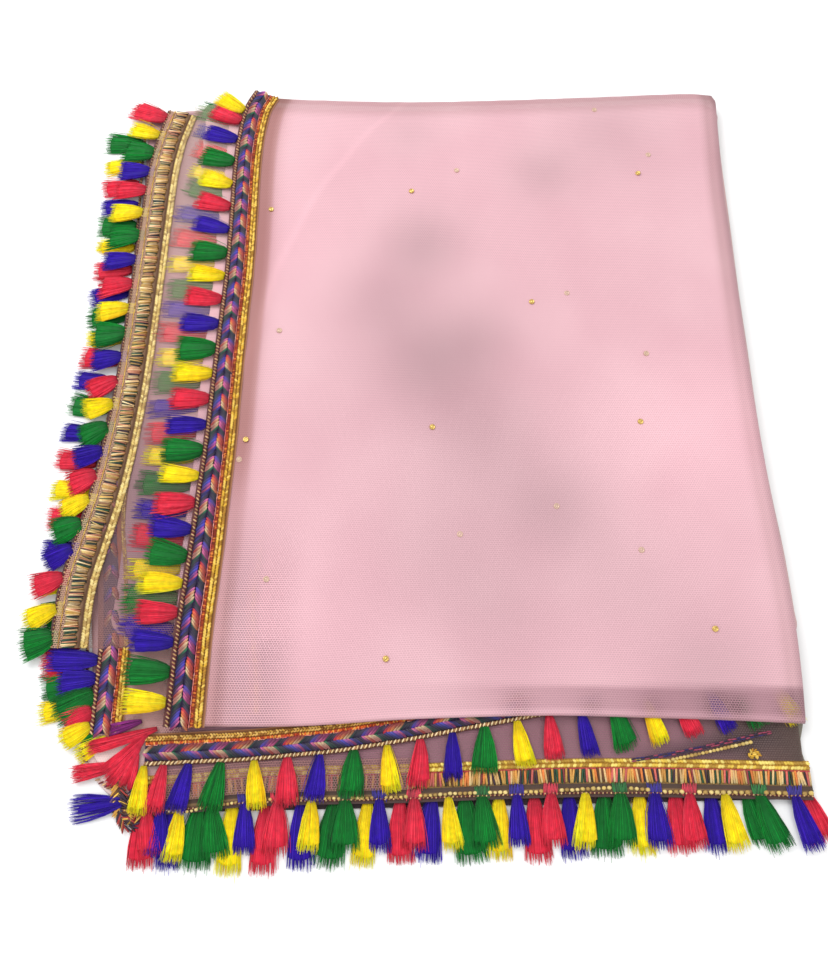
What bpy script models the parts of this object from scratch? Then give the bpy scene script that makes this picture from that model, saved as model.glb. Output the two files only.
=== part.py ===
"""A folded net dupatta: a long see-through stole with a woven braid border and a tassel fringe.

The stole is folded once across its width and twice along its length, and lies flat.
Sizes in the tables are millimetres in the layout frame: x to the right from the middle of the
top panel, y away from its near fold, z up from the surface it lies on. At the end every object is
moved so that the origin is at the bottom centre of the whole folded stole.
"""

import math

import bmesh
import bpy
from mathutils import Vector

MM = 0.001
COLLECTION_NAME = "folded_net_dupatta"

# ---- cloth and trim ------------------------------------------------------------------------------
NET_THICKNESS = 1.2
FOLD_RADIUS = 2.6
STEEPEST = 0.35
SEAM_GAP = 0.3
CORD_WIDTH = 3.4
CORD_THICKNESS = 0.8
CORD_CROWN = 1.0
CHAIN_CROWN = 0.7
CORD_STEP = 24.0
BAND_START = CORD_WIDTH + SEAM_GAP
BAND_END = 18.6
BAND_THICKNESS = 1.0
METAL_STRIP = 3.0
BRAID_RELIEF = 0.7
BRAID_PITCH = 16.6
RIB_RELIEF = 0.4
RIB_PITCH = 11.0
EDGE_START = BAND_END + SEAM_GAP + 0.4
EDGE_WIDTH = 4.6
EDGE_THICKNESS = 1.2

# ---- tassels: width, height and share of the length at each section from the root ----------------
TASSEL_ROOT_WIDTH = 5.4
TASSEL_SECTIONS = (
    # share, width, height
    (0.34, 8.6, 2.3),
    (1.00, 13.2, 1.6),
)

# ---- hidden layers, from the floor up: each is one lip of the folded edge ------------------------
# the lowest one follows the lowest borders on its left and near sides, where it states no place
HIDDEN_LAYERS = (
    # bottom, top, left, right inset, near, far inset, radius of the near left corner
    (0.0, 2.0, None, 0.0, None, 8.0, 46.0),
    (2.0, 4.0, -293.0, 0.9, -40.0, 5.0, 34.0),
    (4.0, 6.4, -289.0, 2.0, 60.0, 9.0, 14.0),
    (6.4, 8.7, -262.0, 1.2, 62.0, 4.5, 14.0),
    (8.7, 11.0, -240.0, 5.0, 58.0, 7.0, 14.0),
)
LIP_SECTION = (
    # share of the layer's height, inset
    (0.0, 1.4),
    (0.45, 0.0),
    (0.94, 1.4),
)
LIP_WAVE = 0.7
LOWEST_REACH = EDGE_START - 0.9
CORNER_RADIUS = 14.0
CORNER_STEPS = 3
SIDE_STEPS = 12

# ---- the top panel's width over the border, its depth and its edges ------------------------------
RIGHT_EDGE = (
    # y, x of the outermost layer on the right
    (-60.0, 214.0),
    (-45.0, 213.5),
    (-21.0, 211.0),
    (-4.0, 210.0),
    (8.0, 214.0),
    (45.0, 216.3),
    (78.0, 217.5),
    (124.0, 216.5),
    (172.0, 214.4),
    (224.0, 212.6),
    (277.0, 211.6),
    (395.0, 211.8),
    (458.0, 212.0),
    (525.0, 213.4),
    (575.0, 215.5),
)
PANEL_SIZE = (440.0, 562.0)
FAR_EDGE = (
    # x, y
    (-330.0, 562.0),
    (-208.0, 563.0),
    (-175.0, 561.0),
    (-82.0, 559.0),
    (11.0, 562.0),
    (104.0, 567.0),
    (189.0, 571.5),
    (213.0, 569.0),
    (240.0, 566.0),
)
NEAR_EDGE = (
    # x, y
    (-240.0, -3.0),
    (-211.0, -3.0),
    (-143.0, -2.0),
    (-73.0, 3.0),
    (-3.0, 6.0),
    (44.0, 7.0),
    (103.0, 6.0),
    (152.0, 5.0),
    (214.0, 3.0),
)
TOP_RIGHT_EDGE = (
    # y, x
    (-5.0, 208.6),
    (8.0, 210.2),
    (45.0, 212.2),
    (78.0, 213.3),
    (124.0, 212.2),
    (172.0, 210.2),
    (224.0, 208.4),
    (277.0, 207.4),
    (395.0, 207.6),
    (458.0, 207.8),
    (525.0, 209.2),
    (575.0, 211.5),
)

# ---- the inner edge of each stretch of border, listed so that its tassels point to the left of
# the direction of travel -------------------------------------------------------------------------
BORDER_TOP_LEFT = (
    # x, y
    (-212.8, -4.0),
    (-212.6, 30.0),
    (-212.0, 72.0),
    (-210.5, 105.0),
    (-209.2, 140.0),
    (-208.4, 170.0),
    (-207.1, 215.0),
    (-206.9, 268.0),
    (-206.2, 324.0),
    (-205.3, 373.0),
    (-206.0, 425.0),
    (-207.2, 479.0),
    (-206.5, 512.0),
    (-202.5, 546.0),
    (-195.5, 563.0),
)
BORDER_SECOND_LEFT = (
    # x, y
    (-302.2, 52.0),
    (-302.6, 87.0),
    (-301.2, 105.0),
    (-296.0, 134.0),
    (-290.5, 166.0),
    (-286.5, 200.0),
    (-284.0, 235.0),
    (-282.3, 271.0),
    (-281.6, 330.0),
    (-281.6, 430.0),
    (-281.3, 473.0),
    (-280.0, 496.0),
    (-277.0, 519.0),
    (-270.6, 548.0),
)
BORDER_THIRD_LEFT = (
    # x, y
    (-271.0, -8.0),
    (-271.5, 15.0),
    (-272.2, 49.5),
)
BORDER_END_UPPER = (
    # x, y
    (204.0, 54.0),
    (150.0, 47.0),
    (100.0, 39.0),
    (45.0, 30.0),
    (-3.0, 21.0),
    (-40.0, 14.0),
    (-73.0, 7.5),
    (-123.0, -0.5),
    (-144.0, -2.5),
    (-179.0, -6.0),
    (-214.0, -8.0),
    (-252.0, -10.0),
)
BORDER_END_LOWER = (
    # x, y
    (213.0, -22.0),
    (137.0, -21.2),
    (95.0, -21.0),
    (39.0, -21.8),
    (-17.0, -24.0),
    (-73.0, -26.5),
    (-141.0, -28.5),
    (-185.0, -30.5),
    (-215.0, -34.0),
    (-250.0, -36.5),
)
BORDER_END_LOWEST = (
    # x, y
    (214.0, -23.4),
    (90.0, -27.1),
    (-20.0, -30.4),
    (-130.0, -33.7),
    (-245.0, -37.2),
    (-255.0, -37.5),
)
BORDER_LEFT_LOWEST = (
    # x, y
    (-277.0, -14.0),
    (-279.0, 30.0),
    (-288.0, 90.0),
    (-295.0, 150.0),
    (-294.0, 220.0),
    (-287.0, 300.0),
    (-288.0, 350.0),
    (-291.0, 420.0),
    (-296.0, 512.0),
    (-297.0, 535.0),
)
CORNER_TURN = (
    # x, y
    (-262.0, -26.0),
    (-272.0, -20.0),
    (-279.0, -8.0),
)

# ---- tassel rows: which tassel at which distance, colours, length, heights and the lean ----------
LEAN_TOP_LEFT = (
    # distance along the border, degrees towards the border's far end
    (0.0, 2.0),
    (300.0, 2.0),
    (350.0, 9.0),
    (400.0, 15.0),
    (465.0, 20.0),
    (510.0, 14.0),
    (565.0, 12.0),
)
LEAN_SECOND_LEFT = (
    (0.0, -13.0),
    (30.0, -22.0),
    (60.0, -33.0),
    (100.0, -33.0),
    (150.0, -22.0),
    (180.0, -24.0),
    (225.0, -14.0),
    (265.0, -5.0),
    (330.0, 0.0),
    (400.0, 4.0),
    (450.0, 6.0),
    (480.0, 14.0),
    (512.0, 8.0),
)
LEAN_THIRD_LEFT = (
    (0.0, -10.0),
    (24.0, -18.0),
    (40.0, -6.0),
    (55.0, 0.0),
)
LEAN_END_UPPER = (
    (0.0, -25.0),
    (60.0, -20.0),
    (105.0, -12.0),
    (150.0, -3.0),
    (200.0, 5.0),
    (300.0, 10.0),
    (350.0, 7.0),
    (390.0, 3.0),
    (410.0, 14.0),
    (461.0, 6.0),
)
LEAN_END_LOWER = (
    (0.0, -17.0),
    (35.0, -12.0),
    (62.0, -2.0),
    (110.0, 0.0),
    (460.0, 3.0),
)
NO_LEAN = ((0.0, 0.0), (1.0, 0.0))
TASSEL_ROWS = {
    # name: (number, distance) at a few tassels, colours in order, length, mid_z, tip_z, lean
    "top_left": (
        ((0, 16.5), (8, 188.0), (16, 371.0), (22, 516.0), (23, 538.0), (24, 553.0)),
        "YGBRYGBRYGBRYGBRYGBRYGBRY", 31.0, 13.8, 12.95, LEAN_TOP_LEFT,
    ),
    "second_left": (
        ((0, 8.0), (6, 134.0), (12, 265.0), (18, 411.0), (20, 450.0), (22, 488.0)),
        "GYRBGYRBGYRBGYRBGYRBGYR", 29.5, 6.8, 4.3, LEAN_SECOND_LEFT,
    ),
    "third_left": (((0, 5.5), (3, 50.0)), "RGBB", 29.0, 5.6, 4.0, LEAN_THIRD_LEFT),
    "end_upper": (
        ((0, 14.5), (18, 430.0), (20, 455.0)),
        "YGBRYGBRYGBRYGBRYGBRY", 30.0, 7.9, 7.1, LEAN_END_UPPER,
    ),
    "end_lower": (
        ((0, 12.8), (8, 206.0), (16, 394.0), (18, 439.0), (20, 458.0)),
        "BGYRBGYRBGYRBGYRBGYBR", 31.0, 3.9, 3.4, LEAN_END_LOWER,
    ),
    "end_lowest": (
        ((0, 12.0), (1, 46.0), (2, 72.0), (5, 146.0), (9, 242.0), (13, 332.0), (18, 448.0)),
        "RGBRYGBRYGBRYGBRYGB", 33.0, 1.5, 1.3, LEAN_END_LOWER,
    ),
    "left_lowest": (((0, 6.0), (23, 536.0)), "YYGRGYBRYRBGBRYGBRYGBRYG", 33.0, 1.6, 1.4, NO_LEAN),
    "corner_turn": (((0, 3.5), (2, 22.0)), "RRR", 28.0, 3.5, 3.15, NO_LEAN),
}

# ---- colours, linear red, green, blue ------------------------------------------------------------
MATERIALS = {
    # name: (red, green, blue), roughness, metallic
    "pink_net": ((0.84, 0.50, 0.57), 0.75, 0.0),
    "gold_cord": ((0.83, 0.55, 0.05), 0.38, 0.35),
    "navy_braid": ((0.16, 0.04, 0.18), 0.65, 0.0),
    "ochre_ribs": ((0.42, 0.27, 0.08), 0.70, 0.0),
    "maroon_crochet": ((0.19, 0.03, 0.04), 0.70, 0.0),
    "tassel_yellow": ((0.95, 0.60, 0.01), 0.60, 0.0),
    "tassel_red": ((0.70, 0.03, 0.06), 0.60, 0.0),
    "tassel_blue": ((0.05, 0.01, 0.36), 0.60, 0.0),
    "tassel_green": ((0.0, 0.16, 0.03), 0.60, 0.0),
}
TASSEL_MATERIALS = {"Y": "tassel_yellow", "R": "tassel_red", "B": "tassel_blue", "G": "tassel_green"}


def interpolate(table, value):
    """Read a two-column table at a value of its first column, with a smooth curve between rows."""
    last = len(table) - 2
    index = 0
    while index < last and table[index + 1][0] < value:
        index += 1
    low, high = table[index], table[index + 1]
    before, after = table[max(index - 1, 0)], table[min(index + 2, last + 1)]
    span = high[0] - low[0]
    share = min(max((value - low[0]) / span, 0.0), 1.0)
    slope_low = (high[1] - before[1]) / (high[0] - before[0]) * span
    slope_high = (after[1] - low[1]) / (after[0] - low[0]) * span
    square, cube = share**2, share**3
    return (
        (2 * cube - 3 * square + 1) * low[1]
        + (cube - 2 * square + share) * slope_low
        + (3 * square - 2 * cube) * high[1]
        + (cube - square) * slope_high
    )


def smooth_step(low, high, value):
    share = min(max((value - low) / (high - low), 0.0), 1.0)
    return share * share * (3 - 2 * share)


def fold_drop(distance, radius):
    """How far a sheet has come down at a distance inside the edge of a rounded fold."""
    if distance >= radius:
        return 0.0
    reach = radius - max(distance, STEEPEST)
    return radius - math.sqrt(radius**2 - reach**2)


def spread(low, high, count, dense_low=False, dense_high=False):
    """Even steps from low to high, with closer ones next to an end that is a fold."""
    steps = [low + (high - low) * i / count for i in range(count + 1)]
    extra = (0.9, 2.4)
    if dense_low:
        steps[1:1] = [low + step for step in extra]
    if dense_high:
        steps[-1:-1] = [high - step for step in reversed(extra)]
    return steps


# ---- heights of the panels -----------------------------------------------------------------------
SECOND_FOLD_Y = 52.0
SECOND_SPAN = (-270.0, 206.0)
NEAR_HEIGHT = 12.2
MAIN_HEIGHT = 13.8


CREASE_POINT = (-150.0, 470.0)
CREASE_ACROSS = (0.74, -0.67)
CREASE_WIDTH = 26.0
CREASE_HEIGHT = 1.5
WAVES = (
    # height, turns per millimetre along x, and along y, start
    (0.55, 0.021, 0.0, 0.9),
    (0.45, -0.011, 0.016, 0.0),
)


def top_height(x, y):
    """Upper face of the top panel: it drops past the second panel's fold, and waves a little."""
    inside = smooth_step(-195.0, -120.0, x) * smooth_step(70.0, 130.0, y) * smooth_step(545.0, 480.0, y)
    off_crease = CREASE_ACROSS[0] * (x - CREASE_POINT[0]) + CREASE_ACROSS[1] * (y - CREASE_POINT[1])
    crease = CREASE_HEIGHT * math.exp(-((off_crease / CREASE_WIDTH) ** 2))
    waves = sum(height * (1 + math.sin(by_x * x + by_y * y + start)) for height, by_x, by_y, start in WAVES)
    height = NEAR_HEIGHT + (MAIN_HEIGHT - NEAR_HEIGHT) * smooth_step(5.0, 50.0, y)
    height += inside * (crease + waves)
    height -= fold_drop(y - interpolate(NEAR_EDGE, x), FOLD_RADIUS)
    height -= fold_drop(interpolate(FAR_EDGE, x) - y, FOLD_RADIUS)
    height -= fold_drop(interpolate(TOP_RIGHT_EDGE, y) - x, FOLD_RADIUS)
    return height


SECOND_SLOPE = (
    # x, height of the upper face
    (-340.0, 7.4),
    (-300.0, 7.6),
    (-281.0, 8.3),
    (-264.0, 10.3),
    (-246.0, 12.1),
    (-232.0, 12.3),
    (-216.0, 12.3),
    (220.0, 12.3),
)


def second_height(x, y):
    return interpolate(SECOND_SLOPE, x) - fold_drop(y - SECOND_FOLD_Y, FOLD_RADIUS)


LOWER_TOP = 5.4


# ---- building tools ------------------------------------------------------------------------------
def make_material(name):
    colour, roughness, metallic = MATERIALS[name]
    material = bpy.data.materials.get(name)
    if material is None:
        material = bpy.data.materials.new(name)
        material.use_nodes = True
        shader = material.node_tree.nodes["Principled BSDF"]
        shader.inputs["Base Color"].default_value = (*colour, 1.0)
        shader.inputs["Roughness"].default_value = roughness
        shader.inputs["Metallic"].default_value = metallic
        material.diffuse_color = (*colour, 1.0)
    return material


def finish_object(mesh_data, name, collection, materials):
    """Turn a bmesh in millimetres into a named object in metres."""
    bmesh.ops.recalc_face_normals(mesh_data, faces=mesh_data.faces)
    bmesh.ops.scale(mesh_data, vec=(MM, MM, MM), verts=mesh_data.verts)
    mesh = bpy.data.meshes.new(name)
    mesh_data.to_mesh(mesh)
    mesh_data.free()
    for material in materials:
        mesh.materials.append(make_material(material))
    mesh.shade_smooth()
    mesh.set_sharp_from_angle(angle=math.radians(50))
    thing = bpy.data.objects.new(name, mesh)
    collection.objects.link(thing)
    return thing


def wall(across, along, place, thickness, relief=None):
    """A grid placed as the plain underside, then extruded up; relief raises the upper points."""
    mesh_data = bmesh.new()
    columns, rows = len(across) - 1, len(along) - 1
    bmesh.ops.create_grid(mesh_data, x_segments=columns, y_segments=rows, size=0.5)
    cells = {}
    for vertex in mesh_data.verts:
        column = round((vertex.co.x + 0.5) * columns)
        row = round((vertex.co.y + 0.5) * rows)
        cells[vertex] = (across[column], along[row])
    for vertex, cell in cells.items():
        vertex.co = place(*cell)
    placed = {tuple(vertex.co): cell for vertex, cell in cells.items()}
    extruded = bmesh.ops.extrude_face_region(mesh_data, geom=mesh_data.faces[:])["geom"]
    for vertex in extruded:
        if isinstance(vertex, bmesh.types.BMVert):
            raised = relief(*placed[tuple(vertex.co)]) if relief else 0.0
            vertex.co.z += thickness + raised
    return mesh_data


class Border:
    """A stretch of border: its inner edge line, and the height of what it lies on."""

    def __init__(self, rows, ground, width=1.0):
        self.width = width if isinstance(width, tuple) else ((0.0, width), (1.0, width))
        self.points = [Vector((x, y, 0.0)) for x, y in rows]
        self.ground = ground
        self.marks = [0.0]
        for start, end in zip(self.points, self.points[1:]):
            self.marks.append(self.marks[-1] + (end - start).length)
        self.length = self.marks[-1]
        self.x_table = [(mark, point.x) for mark, point in zip(self.marks, self.points)]
        self.y_table = [(mark, point.y) for mark, point in zip(self.marks, self.points)]

    def at(self, distance):
        return Vector((interpolate(self.x_table, distance), interpolate(self.y_table, distance), 0.0))

    def outward(self, distance):
        low, high = max(distance - 1.0, 0.0), min(distance + 1.0, self.length)
        run = (self.at(high) - self.at(low)).normalized()
        return Vector((-run.y, run.x, 0.0))

    def place(self, lateral, distance, lift=0.0):
        reach = lateral * interpolate(self.width, distance)
        point = self.at(distance) + self.outward(distance) * reach
        point.z = self.ground(point.x, point.y) + lift
        return point


def border_strip(border, start, end, columns, step, thickness, relief, lift):
    """One lengthwise piece of the border, between two distances from its inner edge."""
    rows = max(2, round(border.length / step))
    across = spread(start, end, columns)
    along = spread(0.0, border.length, rows)
    return wall(across, along, lambda u, v: border.place(u, v, lift), thickness, relief)


def crown(height):
    """A rounded cord: its middle stands above its two sides."""
    middle = CORD_WIDTH / 2
    return lambda lateral, _: height * max(0.0, 1 - abs(lateral - middle) / middle)


def braid_relief(lateral, distance):
    """Chevrons: the middle of the braid stands up half a pitch away from its two sides."""
    middle = (BAND_START + METAL_STRIP + BAND_END) / 2
    shift = 0.5 if abs(lateral - middle) > (BAND_END - BAND_START) / 5 else 0.0
    if not BAND_START + METAL_STRIP < lateral < BAND_END - SEAM_GAP:
        return 0.0
    return BRAID_RELIEF * (0.5 + 0.5 * math.cos(2 * math.pi * (distance / BRAID_PITCH + shift)))


def rib_relief(lateral, distance):
    """Crosswise bundles of thread on the wrong side of the braid."""
    if not BAND_START + METAL_STRIP < lateral < BAND_END - SEAM_GAP:
        return 0.0
    return RIB_RELIEF * (0.5 + 0.5 * math.cos(2 * math.pi * distance / RIB_PITCH))


def tassel_edge(border, row, name, collection, lift=0.0):
    """The crocheted edge as a narrow strip, with one lock of thread fused to it for each tassel."""
    marks, letters, length, mid_z, tip_z, lean = row
    centres = [interpolate(marks, index) for index in range(len(letters))]
    half = TASSEL_ROOT_WIDTH / 2
    along = sorted({0.0, border.length, *(c - half for c in centres), *(c + half for c in centres)})
    along = [v for v in along if 0.0 <= v <= border.length]
    outer = EDGE_START + EDGE_WIDTH
    across = [EDGE_START, outer]
    mesh_data = wall(across, along, lambda u, v: border.place(u, v, lift), EDGE_THICKNESS)
    for index, centre in enumerate(centres):
        root = border.place(outer, centre, lift) + Vector((0.0, 0.0, EDGE_THICKNESS / 2))
        face = min(mesh_data.faces, key=lambda f: (f.calc_center_median() - root).length)
        outward = border.outward(centre)
        run = Vector((outward.y, -outward.x, 0.0))
        slope = math.tan(math.radians(interpolate(lean, centre)))
        for share, width, height in TASSEL_SECTIONS:
            face = bmesh.ops.extrude_discrete_faces(mesh_data, faces=[face])["faces"][0]
            centre_point = root + (outward - run * slope) * (length * share)
            centre_point.z = mid_z if share < 1 else tip_z
            middle = face.calc_center_median()
            for vertex in face.verts:
                offset = vertex.co - middle
                side = math.copysign(width / 2, offset.dot(run))
                rise = math.copysign(height / 2, offset.z)
                vertex.co = centre_point + run * side + Vector((0.0, 0.0, rise))
        colour = 1 + list(TASSEL_MATERIALS).index(letters[index])
        seeds = {face}
        for _ in TASSEL_SECTIONS:
            seeds |= {f for seed in seeds for edge in seed.edges for f in edge.link_faces}
        for part in seeds:
            reach = (part.calc_center_median() - root).dot(outward)
            if reach > 1.0:
                part.material_index = colour
    return finish_object(mesh_data, name, collection, ("maroon_crochet", *TASSEL_MATERIALS.values()))


# ---- the folded cloth ----------------------------------------------------------------------------
def left_edge(layer_left, y):
    if layer_left is not None:
        return layer_left
    return interpolate([(row_y, x) for x, row_y in BORDER_LEFT_LOWEST], y) - LOWEST_REACH


def near_edge(layer_near, x):
    if layer_near is not None:
        return layer_near
    return interpolate(sorted(BORDER_END_LOWEST), x) - LOWEST_REACH


def layer_outline(layer, inset, height):
    """Points round one hidden layer, anticlockwise from above, with rounded corners."""
    _, _, left, right, near, far_inset, near_left_radius = layer

    def right_edge(y):
        return interpolate(RIGHT_EDGE, y) - right - inset

    def far_edge(x):
        return interpolate(FAR_EDGE, x) - far_inset - inset

    near_right = near_edge(near, 210.0) + inset
    low_left, high_left = left_edge(left, 0.0) + inset, left_edge(left, 560.0) + inset
    corners = (
        # x, y, side to side, near to far, start angle, radius
        (right_edge(near_right), near_right, -1, 1, -90.0, CORNER_RADIUS),
        (right_edge(560.0), far_edge(210.0), -1, -1, 0.0, CORNER_RADIUS),
        (high_left, far_edge(high_left), 1, -1, 90.0, CORNER_RADIUS),
        (low_left, near_edge(near, low_left) + inset, 1, 1, 180.0, near_left_radius),
    )
    arcs = []
    for x, y, side_x, side_y, start, radius in corners:
        centre = Vector((x + side_x * radius, y + side_y * radius, height))
        arc = []
        for step in range(CORNER_STEPS + 1):
            angle = math.radians(start + 90.0 * step / CORNER_STEPS)
            arc.append(centre + Vector((math.cos(angle), math.sin(angle), 0.0)) * radius)
        arcs.append(arc)
    outline = []
    for index, arc in enumerate(arcs):
        outline += arc
        start, finish = arc[-1], arcs[(index + 1) % len(arcs)][0]
        for step in range(1, SIDE_STEPS):
            point = start.lerp(finish, step / SIDE_STEPS)
            wave = LIP_WAVE * (1 + math.sin(1.7 * step + 0.9 * height + index))
            if index == 0:
                point.x = right_edge(point.y) - 0.4 * wave
            elif index == 1:
                point.y = far_edge(point.x)
            elif index == 2:
                point.x = left_edge(left, point.y) + inset + (wave if left is not None else 0.0)
            else:
                point.y = near_edge(near, point.x) + inset
            outline.append(point)
    return outline


def make_hidden_layers(collection):
    """The layers that nothing shows of share one solid, with a rounded lip for each at its edges."""
    rings = []
    for layer in HIDDEN_LAYERS:
        bottom, top = layer[:2]
        for share, inset in LIP_SECTION:
            rings.append(layer_outline(layer, inset, bottom + (top - bottom) * share))
    mesh_data = bmesh.new()
    bmesh.ops.create_circle(mesh_data, cap_ends=True, segments=len(rings[0]), radius=1.0)
    face = next(iter(mesh_data.faces))
    loop_vertices = [loop.vert for loop in face.loops]
    for vertex, point in zip(loop_vertices, rings[0]):
        vertex.co = point
    for ring_index, ring in enumerate(rings[1:]):
        covered = face
        extruded = bmesh.ops.extrude_face_region(mesh_data, geom=[covered])["geom"]
        face = next(item for item in extruded if isinstance(item, bmesh.types.BMFace))
        if ring_index > 0:
            bmesh.ops.delete(mesh_data, geom=[covered], context="FACES_ONLY")
        previous = dict(zip([tuple(v.co) for v in loop_vertices], ring))
        loop_vertices = [loop.vert for loop in face.loops]
        targets = [previous[tuple(vertex.co)] for vertex in loop_vertices]
        for vertex, point in zip(loop_vertices, targets):
            vertex.co = point
    return finish_object(mesh_data, "folded_layers", collection, ("pink_net",))


def make_top_panel(collection):
    left_edge = [(y, x) for x, y in BORDER_TOP_LEFT]

    def place(u, v):
        right = interpolate(TOP_RIGHT_EDGE, PANEL_SIZE[1] * v)
        left = interpolate(left_edge, PANEL_SIZE[1] * v) - BAND_END
        x = left + (right - left) * u
        near, far = interpolate(NEAR_EDGE, x), interpolate(FAR_EDGE, x)
        y = near + (far - near) * v
        return Vector((x, y, top_height(x, y) - NET_THICKNESS))

    width, depth = PANEL_SIZE
    across = [u / width for u in spread(0.0, width, 20, dense_high=True)]
    along = [v / depth for v in spread(0.0, depth, 24, dense_low=True, dense_high=True)]
    mesh_data = wall(across, along, place, NET_THICKNESS)
    return finish_object(mesh_data, "net_panel_top", collection, ("pink_net",))


def make_second_panel(collection):
    left_edge = [(y, x) for x, y in BORDER_SECOND_LEFT]

    def place(u, v):
        far = interpolate(FAR_EDGE, SECOND_SPAN[0] + (SECOND_SPAN[1] - SECOND_SPAN[0]) * u) - 5.0
        y = SECOND_FOLD_Y + (far - SECOND_FOLD_Y) * v
        left = interpolate(left_edge, y) + 2 * SEAM_GAP
        x = left + (SECOND_SPAN[1] - left) * u
        return Vector((x, y, second_height(x, y) - NET_THICKNESS))

    across = [0.0, 0.03, 0.055, 0.078, 0.1, 0.118, 0.14, 0.2, 0.4, 0.6, 0.8, 1.0]
    depth = PANEL_SIZE[1] - SECOND_FOLD_Y
    along = [v / depth for v in spread(0.0, depth, 12, dense_low=True)]
    mesh_data = wall(across, along, place, NET_THICKNESS)
    return finish_object(mesh_data, "net_panel_second", collection, ("pink_net",))


def flat_panel(left, right, near, far, columns, rows):
    """A lower panel that shows only in part, lying flat on the hidden layers."""
    across, along = spread(left, right, columns), spread(0.0, 1.0, rows)

    def place(u, v):
        return Vector((u, near(u) + (far - near(u)) * v, LOWER_TOP - NET_THICKNESS + 0.1))

    return wall(across, along, place, NET_THICKNESS - 0.1)


def make_lower_panels(collection):
    third = flat_panel(-290.0, -247.5, lambda x: -9.0, 50.0, 3, 4)
    finish_object(third, "net_panel_third", collection, ("pink_net",))
    end_edge = sorted(BORDER_END_LOWER)
    end_panel = flat_panel(-239.5, 213.0, lambda x: interpolate(end_edge, x) + SEAM_GAP, 56.0, 16, 3)
    finish_object(end_panel, "net_panel_end", collection, ("pink_net",))


# ---- the borders ---------------------------------------------------------------------------------
def make_faced_border(border, label, row, collection, lift):
    """A stretch with its right side up: gold cord, chevron braid and crocheted tassel edge."""
    cord = border_strip(border, 0.0, CORD_WIDTH, 2, CORD_STEP, CORD_THICKNESS, crown(CORD_CROWN), lift)
    finish_object(cord, "gold_cord_" + label, collection, ("gold_cord",))
    half_pitch = BRAID_PITCH / 2
    braid = border_strip(border, BAND_START, BAND_END, 4, half_pitch, BAND_THICKNESS, braid_relief, lift)
    finish_object(braid, "chevron_braid_" + label, collection, ("navy_braid",))
    tassel_edge(border, row, "tassel_edge_" + label, collection, lift)


def make_reverse_border(border, label, row, collection, lift):
    """A stretch with its wrong side up: chain cord, ribbed band and crocheted tassel edge."""
    cord = border_strip(border, 0.0, CORD_WIDTH, 2, CORD_STEP, CORD_THICKNESS, crown(CHAIN_CROWN), lift)
    finish_object(cord, "chain_cord_" + label, collection, ("gold_cord",))
    band = border_strip(border, BAND_START, BAND_END, 3, RIB_PITCH, BAND_THICKNESS, rib_relief, lift)
    finish_object(band, "ribbed_band_" + label, collection, ("ochre_ribs",))
    tassel_edge(border, row, "tassel_edge_" + label, collection, lift)


def make_borders(collection):
    rows = TASSEL_ROWS
    top = Border(BORDER_TOP_LEFT, lambda x, y: interpolate(TOP_LEFT_GROUND, y), TOP_LEFT_WIDTH)
    make_faced_border(top, "top_left", rows["top_left"], collection, SEAM_GAP)
    second = Border(BORDER_SECOND_LEFT, lambda x, y: 6.8, 1.16)
    make_reverse_border(second, "second_left", rows["second_left"], collection, 0.0)
    third = Border(BORDER_THIRD_LEFT, lambda x, y: LOWER_TOP, 0.95)
    make_faced_border(third, "third_left", rows["third_left"], collection, SEAM_GAP)
    upper = Border(BORDER_END_UPPER, lambda x, y: 6.3, 0.86)
    make_faced_border(upper, "end_upper", rows["end_upper"], collection, 0.0)
    lower = Border(BORDER_END_LOWER, lambda x, y: LOWER_TOP - NET_THICKNESS + 0.1)
    make_reverse_border(lower, "end_lower", rows["end_lower"], collection, 0.0)
    for label, line in (("end_lowest", BORDER_END_LOWEST), ("left_lowest", BORDER_LEFT_LOWEST)):
        hidden = Border(line, lambda x, y: 0.5)
        tassel_edge(hidden, rows[label], "tassel_edge_" + label, collection)
    corner = Border(CORNER_TURN, lambda x, y: 2.2)
    tassel_edge(corner, rows["corner_turn"], "tassel_edge_corner_turn", collection)


TOP_LEFT_WIDTH = (
    # distance, share of the usual width
    (0.0, 1.14),
    (80.0, 1.11),
    (180.0, 1.06),
    (260.0, 1.02),
    (340.0, 0.99),
    (565.0, 1.0),
)
TOP_LEFT_GROUND = (
    # y, height of the top panel's upper face along its left edge
    (0.0, NEAR_HEIGHT),
    (5.0, NEAR_HEIGHT),
    (27.5, (NEAR_HEIGHT + MAIN_HEIGHT) / 2),
    (50.0, MAIN_HEIGHT),
    (570.0, MAIN_HEIGHT),
)


def stand_at_origin(collection):
    """Move the whole stole so that the origin is at its bottom centre."""
    corners = [vertex.co for thing in collection.objects for vertex in thing.data.vertices]
    low = Vector([min(corner[axis] for corner in corners) for axis in range(3)])
    high = Vector([max(corner[axis] for corner in corners) for axis in range(3)])
    centre = (low + high) / 2
    shift = Vector((-centre.x, -centre.y, -low.z))
    for thing in collection.objects:
        for vertex in thing.data.vertices:
            vertex.co += shift


def main():
    for thing in list(bpy.data.objects):
        bpy.data.objects.remove(thing, do_unlink=True)
    collection = bpy.data.collections.new(COLLECTION_NAME)
    bpy.context.scene.collection.children.link(collection)
    make_hidden_layers(collection)
    make_lower_panels(collection)
    make_second_panel(collection)
    make_top_panel(collection)
    make_borders(collection)
    stand_at_origin(collection)


main()
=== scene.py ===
"""Looks of the folded net dupatta: see-through net panels, woven borders, tassels and studs.

Sizes in the tables are millimetres in the layout frame of the stole: x to the right from the
middle of the top panel, y away from its near fold, z up from the surface it lies on. Every mesh is
moved from that frame to the model's own metres when it is made.
"""

import math

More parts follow.
